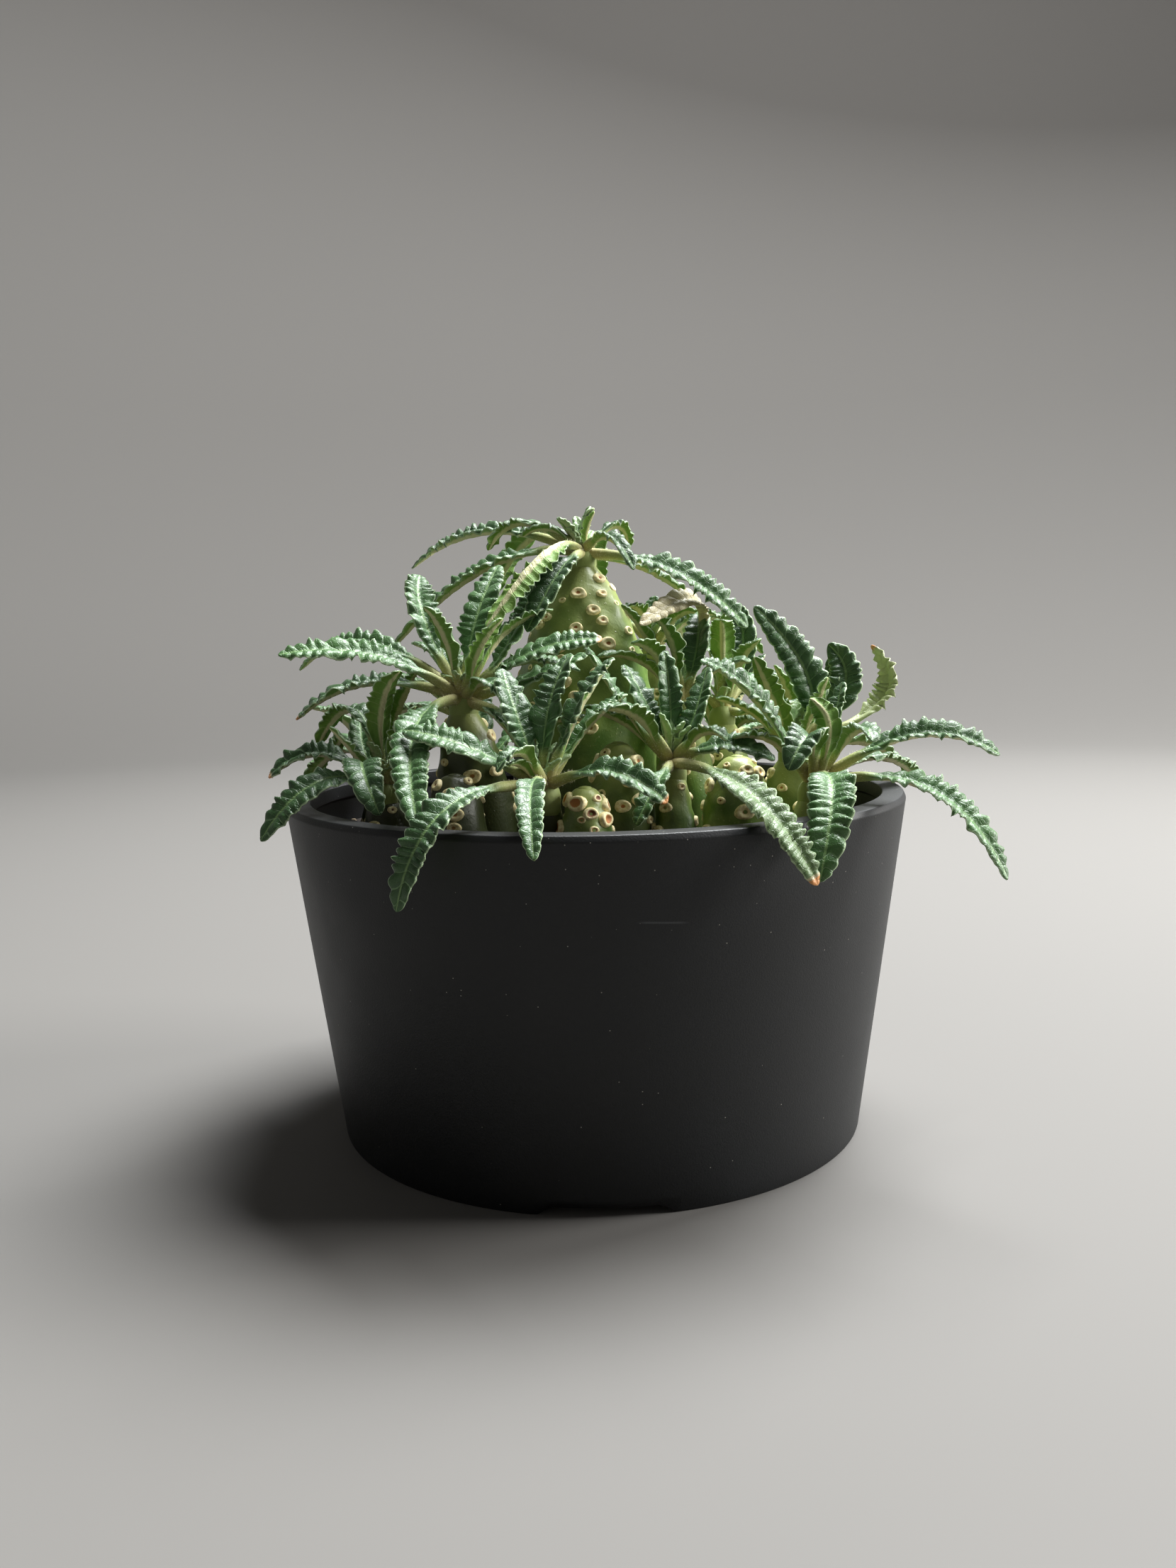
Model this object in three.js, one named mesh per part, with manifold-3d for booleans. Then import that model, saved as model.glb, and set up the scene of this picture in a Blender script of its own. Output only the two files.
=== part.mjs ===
// A potted Dorstenia lavranii: a branching succulent in a black tapered plastic pot.
// Thick stems with raised leaf scars carry crowns of long leaves with waved margins.
// Millimetres, +Z up, standing on z = 0. Heights in the plant's tables are measured from the pot's rim.
import * as THREE from "three";
import { mergeVertices } from "three/addons/utils/BufferGeometryUtils.js";
import Module from "manifold-3d";

const wasm = await Module();
wasm.setup();

// Pot
const RIM_RADIUS = 75;
const BASE_RADIUS = 64.3;
const POT_HEIGHT = 81;
const RIM_WIDTH = 5.5;
const RIM_DEPTH = 3.5;
const RIM_UNDERCUT = 1;
const LIP_CHAMFER = 0.6;
const LIP_HEIGHT = 1.3;
const WALL = 2.6;
const FLOOR_UNDERSIDE = 3;
const FLOOR_THICKNESS = 2.6;
const FOOT_RING_WIDTH = 6;
const POT_SIDES = 32;
const NOTCHES = 4;
const NOTCH_WIDTH = 29;
const NOTCH_HEIGHT = 2;
const NOTCH_SLANT = 3;
const NOTCH_OVERRUN = 1;
const DRAIN_HOLES = 4;
const DRAIN_RADIUS = 5;
const DRAIN_CIRCLE = 36;
const DRAIN_SIDES = 8;

// Soil
const SOIL_BELOW_RIM = 10;
const SOIL_SIDES = 24;
const HOLE_SIDES = 6;

// Gap between pieces that touch, and how deep a stem stands in the soil
const GAP = 0.35;
const STEM_SINK = 12;

// Stems. The taper is the pair of powers in stemAt: a cone with a pointed top, or a blunt dome.
const STEM_SIDES = 8;
const STEM_RINGS = 4;
const RING_CROWDING = 1.5;
const CONE_TAPER = [4, 0.95];
const DOME_TAPER = [2.6, 0.5];
const SCAR_SIDES = 4;
const SCAR_RADIUS = 1.9;
const SCAR_HEIGHT = 0.8;
const SCAR_ROOT = 1.2;
const SCAR_TAPER = 0.8;
const LOWEST_SCAR = 0.42;
const HIGHEST_SCAR = 0.93;
const GOLDEN_ANGLE = THREE.MathUtils.degToRad(137.5);

// Leaves: a round stalk that flattens into a channelled blade with waved edges and a thick midrib
const STALK_HALF_WIDTH = 1.3;
const STALK_THICKNESS = 2.6;
const BLADE_START = 0.2;
const EDGE_THICKNESS = 0.7;
const MIDRIB_THICKNESS = 1.7;
const TIP_HALF_WIDTH = 1;
const SHOULDER = 3.2;
const TIP_POWER = 3.5;
const STALK_EDGE_SHARE = 0.7;
const FLATTENING = 3;
const RIB_TAPER = 0.5;
const RIB_SINK = 0.3;
const CHANNEL = 0.22;
const WAVE_HEIGHT = 1.1;
const WAVE_WIDTH = 0.16;
const MOST_STATIONS = 9;
const FEWEST_STATIONS = 6;
const LENGTH_PER_STATION = 5;
const STALK_ROOT = 2.6;
const CORE_RADIUS = 4.4;
const CORE_HEIGHT = 4;

// Each stem: foot [x, y], top [x, y, z], radii at foot and top, number of scars, and blunt for a dome.
const STEMS = {
  stem_main: { foot: [-3, 0], top: [-2, 3, 54.5], radii: [18, 3.4], scars: 16 },
  stem_left: { foot: [-26, -14], top: [-30, -22, 20.5], radii: [8.5, 3.4], scars: 5 },
  stem_front_left: { foot: [-13, -43], top: [-11, -46.5, 2.5], radii: [4.5, 3.2], scars: 1 },
  stem_front_right: { foot: [18, -36], top: [17, -30.5, 5.5], radii: [4.5, 3], scars: 2 },
  stem_upper: { foot: [25, -8], top: [21, -8, 17.5], radii: [7, 3.4], scars: 3 },
  stem_right: { foot: [47, -32], top: [49, -28, -0.5], radii: [5, 3.4], scars: 1 },
  stem_right_back: { foot: [46, -4], top: [48, -6, 6.5], radii: [7, 3.4], scars: 2 },
  stem_back_mid: { foot: [34, 14], top: [33, 12, 14.5], radii: [8, 3.4], scars: 2 },
  stem_back_top: { foot: [16, 24], top: [16, 22, 30.5], radii: [10, 3.6], scars: 3 },
  stem_far_left: { foot: [-46, -20], top: [-49, -24, 0.5], radii: [6, 3.4], scars: 2 },
  stem_back_left: { foot: [-34, 20], top: [-34, 24, 12.5], radii: [9, 3.6], scars: 2 },
  stem_back: { foot: [-6, 44], top: [-6, 48, 4.5], radii: [8, 3.6], scars: 2 },
  stem_back_right: { foot: [34, 44], top: [36, 46, 2.5], radii: [7, 3.4], scars: 2 },
  stem_side_left: { foot: [-52, 8], top: [-54, 6, 2.5], radii: [6, 3.4], scars: 2 },
  stem_side_right: { foot: [54, 22], top: [57, 22, 0.5], radii: [6, 3.4], scars: 2 },
  dome_low_right: { foot: [32, -27], top: [32, -28, 10], radii: [8.5, 1.5], scars: 6, blunt: true },
  dome_middle: { foot: [5, -33], top: [5, -33, 14], radii: [7.5, 1.5], scars: 6, blunt: true },
  dome_front: { foot: [-2.5, -48.5], top: [-2.5, -48.5, 6], radii: [6, 1.5], scars: 8, blunt: true },
  dome_left: { foot: [-31, -38], top: [-31, -37, 8], radii: [7.5, 1.5], scars: 4, blunt: true },
};

// Each crown: its growing tip [x, y, z], and its leaves. A leaf is [halfway point, tip, half width, roll]:
// the points are measured from the growing tip, and a roll of 180 degrees turns the underside up.
const CROWNS = {
  leaves_top: {
    at: [-2, 3, 58],
    leaves: [
      [[-24, 17, 7], [-46, 29, -1], 4.2, -20],
      [[-14, 6, 8], [-24, 10, 2], 3.6, 0],
      [[-9, -16, -1], [-22, -27, -18], 4.4, 180],
      [[-5, -15, -5], [-13, -24, -19], 4.6, 0],
      [[-23, -1, -3], [-50, 3, -24], 4.2, -20],
      [[21, -8, -5], [39, -12, -19], 4.8, 25],
      [[15, 13, -3], [30, 23, -12], 4, 20],
      [[8, 6, 7], [12, 10, 2], 3, 0],
      [[2, 22, 5], [4, 42, -10], 4.6, 0],
      [[-12, 20, 6], [-26, 38, -10], 4.6, 0],
      [[1, -1, 5], [3, -2, 10], 1.8, 0],
      [[-3, 1, 5], [-6, 2, 9], 1.8, 0],
    ],
  },
  leaves_left: {
    at: [-30, -22, 24],
    leaves: [
      [[-18, -6, 10], [-39, -12, 11], 4.4, -30],
      [[-21, 0, 4], [-39, 2, -4], 4.2, -15],
      [[-23, 13, 13], [-42, 21, 7], 4, -20],
      [[-9, 5, 18], [-11, 16, 29], 4.4, 0],
      [[-3, -5, 13], [-7, -9, 21], 3.2, 0],
      [[3, 4, 17], [8, 16, 31], 4.4, 0],
      [[4, -6, 10], [10, -9, 18], 3.2, 0],
      [[11, 6, 13], [17, 13, 28], 4, 0],
      [[16, -6, 10], [32, -9, 13], 4.2, 30],
      [[15, -2, 4], [29, -2, 10], 4, 20],
      [[16, -11, -4], [30, -9, -4], 3.6, 0],
      [[-8, -23, -5], [-5, -46, -23], 4.6, 0],
    ],
  },
  leaves_front_left: {
    at: [-11, -47, 6],
    leaves: [
      [[-15, -5, 9], [-29, -3, 13], 4.4, -30],
      [[-5, 2, 13], [-9, 11, 25], 4.4, 0],
      [[1, 3, 15], [6, 10, 28], 4.2, 0],
      [[7, 0, 15], [15, 6, 27], 4.4, 0],
      [[13, -9, 4], [25, -13, -2], 4.2, 25],
      [[-2, -19, 2], [-1, -36, -9], 4, 0],
      [[-18, -22, -1], [-28, -27, -20], 4.2, -15],
      [[-4, -5, 5], [-7, -9, 6], 2.2, 0],
    ],
  },
  leaves_front_right: {
    at: [17, -30, 9],
    leaves: [
      [[-11, -4, 14], [-19, 2, 27], 4.2, 0],
      [[-5, 2, 12], [-10, 8, 22], 4, 0],
      [[-8, -12, 11], [-17, -17, 13], 4, 0],
      [[5, 0, 9], [9, 7, 21], 4.2, 0],
      [[11, -5, 4], [22, -8, 1], 4.2, 30],
      [[13, -31, -3], [25, -42, -20], 4.4, 10],
      [[-4, -14, -3], [-9, -20, -11], 3, 0],
    ],
  },
  leaves_upper: {
    at: [21, -8, 21],
    leaves: [
      [[5, 4, 23], [-10, -8, 19], 4, -30],
      [[-6, -7, 11], [-12, -11, 15], 3.8, 0],
      [[-2, -4, 13], [-6, -2, 21], 4, 0],
      [[4, 0, 13], [5, 9, 22], 4, 0],
    ],
  },
  leaves_right: {
    at: [49, -28, 3],
    leaves: [
      [[-13, -8, 19], [-26, -10, 29], 4.4, -40],
      [[21, -5, 11], [39, -10, 7], 4.6, 25],
      [[21, -17, 1], [35, -28, -17], 4.4, 15],
      [[-1, -27, 3], [-6, -41, -14], 5.2, 0],
      [[-3, -14, 12], [-9, -22, 6], 4.6, 0],
      [[8, -6, 12], [10, -15, 11], 3.6, 0],
      [[2, -9, 13], [-2, -8, 20], 3.2, 0],
      [[19, 20, 4], [35, 36, -5], 4.2, 0],
    ],
  },
  leaves_right_back: {
    at: [48, -6, 10],
    leaves: [
      [[4, -2, 15], [-9, 0, 34], 4.8, -80],
      [[15, 0, 14], [10, 6, 24], 4.8, 45],
      [[23, 4, 11], [21, 8, 24], 3.8, 15],
      [[-5, -8, 9], [-10, -8, 22], 4.4, 0],
      [[10, 2, 8], [10, 6, 21], 4.2, 0],
    ],
  },
  leaves_back_mid: {
    at: [33, 12, 18],
    leaves: [
      [[4, -4, 11], [8, -11, 18], 4.2, 0],
      [[0, -3, 16], [-1, -9, 23], 3.8, 0],
      [[6, 4, 14], [5, 10, 27], 4.4, 0],
      [[9, -2, 0], [21, 4, 2], 4, 0],
      [[12, 14, 8], [22, 26, 0], 4.4, 0],
    ],
  },
  leaves_back_top: {
    at: [16, 22, 34],
    leaves: [
      [[-3, -5, 9], [-7, -8, 11], 3.6, 0],
      [[6, -5, 8], [12, -7, 9], 3.6, 0],
      [[6, 16, 8], [12, 36, -4], 4.6, 0],
      [[-10, 14, 8], [-20, 30, -4], 4.6, 0],
      [[16, 10, 8], [32, 22, -2], 4.4, 0],
    ],
  },
  leaves_far_left: {
    at: [-49, -24, 4],
    leaves: [
      [[1, -3, 17], [6, -8, 27], 4, 0],
      [[5, -3, 11], [9, -7, 19], 3.8, 0],
      [[-7, 10, 17], [-18, 16, 9], 4.2, 0],
      [[-13, 0, 8], [-26, 0, 3], 4.2, -20],
      [[-12, -11, 3], [-24, -17, -9], 4.2, -30],
      [[-2, -14, 7], [3, -23, -3], 4.4, 0],
      [[-9, 18, 10], [-17, 29, 6], 3.8, 0],
      [[-6, 10, 9], [-7, 18, 17], 3.6, 0],
    ],
  },
};

// Crowns at the back grow by a rule instead: leaves a golden angle apart, the first ones long and hanging,
// the last ones short and upright, with a little seeded scatter.
const RULED_CROWNS = {
  leaves_back_left: { at: [-34, 24, 16], start: 150, count: 6, reach: 38 },
  leaves_back: { at: [-6, 48, 8], start: 80, count: 6, reach: 36 },
  leaves_back_right: { at: [36, 46, 6], start: 35, count: 6, reach: 36 },
  leaves_side_left: { at: [-54, 6, 6], start: 150, count: 5, reach: 30 },
  leaves_side_right: { at: [57, 22, 4], start: 0, count: 5, reach: 30 },
};
const SEED = 7;
const LAST_REACH_SHARE = 0.35;
const FIRST_AND_LAST_RISE = [-9, 24];
const FIRST_AND_LAST_ARCH = [8, 2];
const ANGLE_SCATTER = 0.3;
const REACH_SCATTER = 0.2;
const RISE_SCATTER = 4;
const RULED_HALF_WIDTH = 4.4;

const COLOURS = {
  pot: 0x121316,
  soil: 0x1d1713,
  stem: 0x5b7038,
  leaves: 0x3c5c40,
};

// The same list of numbers from 0 to 1 each time, from a seed.
function randomSource(seed) {
  let state = seed;
  return () => {
    state = (state * 16807) % 2147483647;
    return state / 2147483647;
  };
}

// A closed mesh from rings of points: each ring is joined to the next, and both ends are capped by a fan.
// The two faces of a leaf are split alike, because mirrored quads take mirrored diagonals.
function loft(rings, mirrored) {
  const sides = rings[0].length;
  const points = rings.flat();
  const faces = [];
  for (let i = 0; i + 1 < rings.length; i++)
    for (let j = 0; j < sides; j++) {
      const a = i * sides + j;
      const b = i * sides + ((j + 1) % sides);
      const c = b + sides;
      const d = a + sides;
      if (mirrored && j >= sides / 2) faces.push(a, b, d, b, c, d);
      else faces.push(a, b, c, a, c, d);
    }
  const last = (rings.length - 1) * sides;
  for (let j = 1; j + 1 < sides; j++) {
    faces.push(0, j + 1, j);
    faces.push(last, last + j, last + j + 1);
  }
  return solidFrom(points, faces);
}

function solidFrom(points, faces) {
  return new wasm.Manifold(
    new wasm.Mesh({
      numProp: 3,
      vertProperties: new Float32Array(points.flatMap((p) => [p.x, p.y, p.z])),
      triVerts: new Uint32Array(faces),
    }),
  );
}

function solidFromGeometry(geometry) {
  const bare = new THREE.BufferGeometry();
  bare.setAttribute("position", geometry.getAttribute("position"));
  bare.setIndex(geometry.index);
  const merged = mergeVertices(bare, 1e-3);
  return new wasm.Manifold(
    new wasm.Mesh({
      numProp: 3,
      vertProperties: merged.attributes.position.array,
      triVerts: new Uint32Array(merged.index.array),
    }),
  );
}

// The biggest body of a solid, so that a cut leaves no loose scrap.
function biggest(solid) {
  const bodies = solid.decompose();
  bodies.sort((a, b) => b.volume() - a.volume());
  return bodies[0];
}

function meshOf(solid, name, colour, roughness) {
  const { vertProperties, triVerts } = solid.getMesh();
  const geometry = new THREE.BufferGeometry();
  geometry.setAttribute("position", new THREE.BufferAttribute(vertProperties, 3));
  geometry.setIndex(new THREE.BufferAttribute(triVerts, 1));
  const material = new THREE.MeshStandardMaterial({ color: colour, roughness, metalness: 0 });
  const mesh = new THREE.Mesh(geometry, material);
  mesh.name = name;
  return mesh;
}

const wallRadiusAt = (z) => BASE_RADIUS + ((RIM_RADIUS - BASE_RADIUS) * z) / (POT_HEIGHT - LIP_HEIGHT);

function pot() {
  const floorTop = FLOOR_UNDERSIDE + FLOOR_THICKNESS;
  const profile = [
    [0, FLOOR_UNDERSIDE],
    [BASE_RADIUS - FOOT_RING_WIDTH, FLOOR_UNDERSIDE],
    [BASE_RADIUS - FOOT_RING_WIDTH, 0],
    [BASE_RADIUS, 0],
    [RIM_RADIUS, POT_HEIGHT - LIP_HEIGHT],
    [RIM_RADIUS - LIP_CHAMFER, POT_HEIGHT],
    [RIM_RADIUS - RIM_WIDTH, POT_HEIGHT],
    [RIM_RADIUS - RIM_WIDTH, POT_HEIGHT - RIM_DEPTH],
    [wallRadiusAt(POT_HEIGHT - RIM_DEPTH) - WALL, POT_HEIGHT - RIM_DEPTH - RIM_UNDERCUT],
    [wallRadiusAt(floorTop) - WALL, floorTop],
    [0, floorTop],
  ].map(([r, z]) => new THREE.Vector2(r, z));
  const shell = new THREE.LatheGeometry(profile, POT_SIDES).rotateX(Math.PI / 2);
  let body = solidFromGeometry(shell);
  for (let i = 0; i < DRAIN_HOLES; i++) {
    const angle = ((i + 0.5) * 2 * Math.PI) / DRAIN_HOLES;
    const hole = new THREE.CylinderGeometry(DRAIN_RADIUS, DRAIN_RADIUS, 3 * FLOOR_THICKNESS, DRAIN_SIDES)
      .rotateX(Math.PI / 2)
      .translate(DRAIN_CIRCLE * Math.cos(angle), DRAIN_CIRCLE * Math.sin(angle), floorTop);
    body = body.subtract(solidFromGeometry(hole));
  }
  const half = NOTCH_WIDTH / 2;
  const outline = new THREE.Shape([
    new THREE.Vector2(-half, -NOTCH_OVERRUN),
    new THREE.Vector2(half, -NOTCH_OVERRUN),
    new THREE.Vector2(half, 0),
    new THREE.Vector2(half - NOTCH_SLANT, NOTCH_HEIGHT),
    new THREE.Vector2(-half + NOTCH_SLANT, NOTCH_HEIGHT),
    new THREE.Vector2(-half, 0),
  ]);
  for (let i = 0; i < NOTCHES; i++) {
    const notch = new THREE.ExtrudeGeometry(outline, { depth: 3 * FOOT_RING_WIDTH, bevelEnabled: false })
      .translate(0, 0, BASE_RADIUS - 2 * FOOT_RING_WIDTH)
      .rotateX(Math.PI / 2)
      .rotateZ((i * 2 * Math.PI) / NOTCHES);
    body = body.subtract(solidFromGeometry(notch));
  }
  return body;
}

function soil() {
  const bottom = FLOOR_UNDERSIDE + FLOOR_THICKNESS + GAP;
  const top = POT_HEIGHT - SOIL_BELOW_RIM;
  const edge = (z) => wallRadiusAt(z) - WALL - 2 * GAP;
  const profile = [
    [0, bottom],
    [edge(bottom), bottom],
    [edge(top), top],
    [0, top],
  ].map(([r, z]) => new THREE.Vector2(r, z));
  return solidFromGeometry(new THREE.LatheGeometry(profile, SOIL_SIDES).rotateX(Math.PI / 2));
}

// A stem's centre line is straight. Its radius runs from foot to top as top + (foot - top) (1 - s^a)^b.
function stemAt(stem, s) {
  const start = new THREE.Vector3(...stem.foot, -SOIL_BELOW_RIM - STEM_SINK);
  const end = new THREE.Vector3(...stem.top);
  const [power, root] = stem.blunt ? DOME_TAPER : CONE_TAPER;
  const [footRadius, topRadius] = stem.radii;
  const radius = topRadius + (footRadius - topRadius) * (1 - s ** power) ** root;
  const centre = start.lerp(end, s);
  centre.z += POT_HEIGHT;
  return { centre, radius };
}

function stemBody(stem, grow) {
  const rings = [];
  for (let i = 0; i <= STEM_RINGS; i++) {
    const s = 1 - (1 - i / STEM_RINGS) ** RING_CROWDING;
    const { centre, radius } = stemAt(stem, s);
    const ring = [];
    for (let j = 0; j < STEM_SIDES; j++) {
      const angle = (j * 2 * Math.PI) / STEM_SIDES;
      const around = new THREE.Vector3(Math.cos(angle), Math.sin(angle), 0);
      ring.push(centre.clone().addScaledVector(around, radius + grow));
    }
    rings.push(ring);
  }
  return loft(rings, false);
}

// Scars climb the stem a golden angle apart, each a short raised pentagon with its root sunk in the stem.
function stemWithScars(stem, grow) {
  let body = stemBody(stem, grow);
  for (let i = 0; i < stem.scars; i++) {
    const s = THREE.MathUtils.lerp(LOWEST_SCAR, HIGHEST_SCAR, (i + 0.5) / stem.scars);
    const { centre, radius } = stemAt(stem, s);
    const above = stemAt(stem, Math.min(s + 0.02, 1));
    const angle = i * GOLDEN_ANGLE;
    const out = new THREE.Vector3(Math.cos(angle), Math.sin(angle), 0);
    const slope = (radius - above.radius) / (above.centre.z - centre.z);
    const normal = out.clone().add(new THREE.Vector3(0, 0, slope)).normalize();
    const scar = new THREE.CylinderGeometry(
      SCAR_TAPER * SCAR_RADIUS + grow, SCAR_RADIUS + grow, SCAR_HEIGHT + grow + SCAR_ROOT, SCAR_SIDES)
      .translate(0, (SCAR_HEIGHT + grow - SCAR_ROOT) / 2, 0)
      .applyQuaternion(new THREE.Quaternion().setFromUnitVectors(new THREE.Vector3(0, 1, 0), normal));
    const place = centre.clone().addScaledVector(out, radius * Math.cos(Math.PI / STEM_SIDES));
    body = body.add(solidFromGeometry(scar.translate(place.x, place.y, place.z)));
  }
  return body;
}

// A leaf's centre line is the parabola from the growing tip through its halfway point to its tip.
function leafLine(middle, tip) {
  const control = new THREE.Vector3(...middle).multiplyScalar(2);
  control.addScaledVector(new THREE.Vector3(...tip), -0.5);
  return new THREE.QuadraticBezierCurve3(new THREE.Vector3(), control, new THREE.Vector3(...tip));
}

// Share of the full half width at a place along the leaf: a narrow stalk, then a blade widest past halfway.
function bladeShare(t) {
  if (t <= BLADE_START) return 0;
  const u = Math.min(1, (t - BLADE_START) / (1 - BLADE_START));
  return Math.min(1, SHOULDER * u) * Math.sqrt(1 - u ** TIP_POWER);
}

function leafSolid(crown, [middle, tip, halfWidth, roll], grow) {
  const line = leafLine(middle, tip);
  const length = line.getLength();
  const root = STALK_ROOT / (2 * line.v1.length());
  const size = Math.round(length / LENGTH_PER_STATION) + 2;
  const stations = THREE.MathUtils.clamp(size, FEWEST_STATIONS, MOST_STATIONS);
  const outwards = new THREE.Vector3(tip[0], tip[1], 0);
  const sideways = new THREE.Vector3(-outwards.y, outwards.x, 0).normalize();
  const rings = [];
  for (let i = 0; i < stations; i++) {
    const t = i === 0 ? root : BLADE_START + ((1 - BLADE_START) * (i - 1)) / (stations - 2);
    const centre = line.getPoint(t).add(crown);
    const along = line.getTangent(t);
    const across = sideways.clone().addScaledVector(along, -sideways.dot(along)).normalize();
    across.applyAxisAngle(along, THREE.MathUtils.degToRad(roll));
    const face = new THREE.Vector3().crossVectors(along, across);
    const share = bladeShare(t);
    const wave = (i % 2 ? 1 : -1) * share;
    const blade = halfWidth * share * (1 + WAVE_WIDTH * wave);
    const width = Math.max(blade, t < 1 ? STALK_HALF_WIDTH * (1 - t) : 0, TIP_HALF_WIDTH) + grow;
    const thick = THREE.MathUtils.lerp(STALK_THICKNESS, MIDRIB_THICKNESS, Math.min(1, t / BLADE_START));
    const rib = (thick * (1 - RIB_TAPER * t)) / 2 + grow;
    const flat = Math.min(1, FLATTENING * share);
    const edge = THREE.MathUtils.lerp(STALK_EDGE_SHARE * STALK_THICKNESS, EDGE_THICKNESS, flat) / 2 + grow;
    const top = Math.max(rib - RIB_SINK * share, EDGE_THICKNESS / 2 + grow);
    const lift = CHANNEL * width * share + WAVE_HEIGHT * wave * share;
    const at = (side, height) => centre.clone().addScaledVector(across, side).addScaledVector(face, height);
    rings.push([
      at(width, lift + edge),
      at(0, top),
      at(-width, lift + edge),
      at(-width, lift - edge),
      at(0, -rib),
      at(width, lift - edge),
    ]);
  }
  return loft(rings, true);
}

// A plain hole that clears a stem's foot, wider than the stem at its corners and open at the soil's top.
function soilHole(stem) {
  const above = (STEM_SINK + GAP) / (stem.top[2] + SOIL_BELOW_RIM + STEM_SINK);
  const ringAt = (s, drop) => {
    const { centre } = stemAt(stem, s);
    const reach = (stem.radii[0] + GAP) / Math.cos(Math.PI / HOLE_SIDES);
    return Array.from({ length: HOLE_SIDES }, (_, j) => {
      const angle = (j * 2 * Math.PI) / HOLE_SIDES;
      return new THREE.Vector3(
        centre.x + reach * Math.cos(angle), centre.y + reach * Math.sin(angle), centre.z + drop);
    });
  };
  return loft([ringAt(0, -GAP), ringAt(above, 0)], false);
}

function crownCore(at, grow) {
  const core = new THREE.SphereGeometry(1, 6, 4).rotateX(Math.PI / 2);
  core.scale(CORE_RADIUS + grow, CORE_RADIUS + grow, CORE_HEIGHT + grow).translate(at.x, at.y, at.z);
  return solidFromGeometry(core);
}

function ruledLeaves({ start, count, reach }, random) {
  const leaves = [];
  for (let i = 0; i < count; i++) {
    const u = i / (count - 1);
    const angle = THREE.MathUtils.degToRad(start) + i * GOLDEN_ANGLE + ANGLE_SCATTER * (random() - 0.5);
    const shorter = THREE.MathUtils.lerp(1, LAST_REACH_SHARE, u);
    const out = reach * shorter * (1 + REACH_SCATTER * (random() - 0.5));
    const rise = THREE.MathUtils.lerp(...FIRST_AND_LAST_RISE, u) + RISE_SCATTER * (random() - 0.5);
    const arch = THREE.MathUtils.lerp(...FIRST_AND_LAST_ARCH, u);
    const point = (share, z) => [share * out * Math.cos(angle), share * out * Math.sin(angle), z];
    leaves.push([point(0.5, rise / 2 + arch), point(1, rise), RULED_HALF_WIDTH, 0]);
  }
  return leaves;
}

const scatter = randomSource(SEED);
const crowns = Object.entries(CROWNS).map(([name, { at, leaves }]) => ({ name, at, leaves }));
for (const [name, rule] of Object.entries(RULED_CROWNS))
  crowns.push({ name, at: rule.at, leaves: ruledLeaves(rule, scatter) });

function crownSolid({ at, leaves }, grow) {
  const place = new THREE.Vector3(at[0], at[1], at[2] + POT_HEIGHT);
  return leaves.reduce((body, leaf) => body.add(leafSolid(place, leaf, grow)), crownCore(place, grow));
}

// Later pieces give way to earlier ones: each is cut where it would come nearer than the gap.
const plant = new THREE.Group();
const potSolid = pot();
plant.add(meshOf(potSolid, "pot", COLOURS.pot, 0.55));

const cleared = [];
const stems = Object.entries(STEMS);
for (const crown of crowns) {
  let body = crownSolid(crown, 0).subtract(potSolid);
  for (const other of cleared) body = body.subtract(other);
  cleared.push(crownSolid(crown, GAP));
  plant.add(meshOf(biggest(body), crown.name, COLOURS.leaves, 0.4));
}
let ground = soil();
for (const [name, stem] of stems) {
  let body = stemWithScars(stem, 0);
  for (const other of cleared) body = body.subtract(other);
  cleared.push(stemWithScars(stem, GAP));
  ground = ground.subtract(soilHole(stem));
  plant.add(meshOf(biggest(body), name, COLOURS.stem, 0.45));
}
plant.add(meshOf(biggest(ground), "soil", COLOURS.soil, 1));

// The origin is the middle of the whole plant's footprint, on the surface that the pot stands on.
const box = new THREE.Box3().setFromObject(plant);
const middle = box.getCenter(new THREE.Vector3());
plant.position.set(-middle.x, -middle.y, 0);

export default plant;
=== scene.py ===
# %% [markdown]
# # A potted Dorstenia lavranii
# The plant is a branching succulent: thick green stems dotted with round leaf scars, and on each growing
# tip a crown of long leaves with crisped edges. It stands in a black tapered plastic pot.
# Every piece below is a surface worked out with numpy, a function of two parameters on a grid, and each
# one except the hairs takes the place of the plain solid that has the same form in the CAD model.

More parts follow.
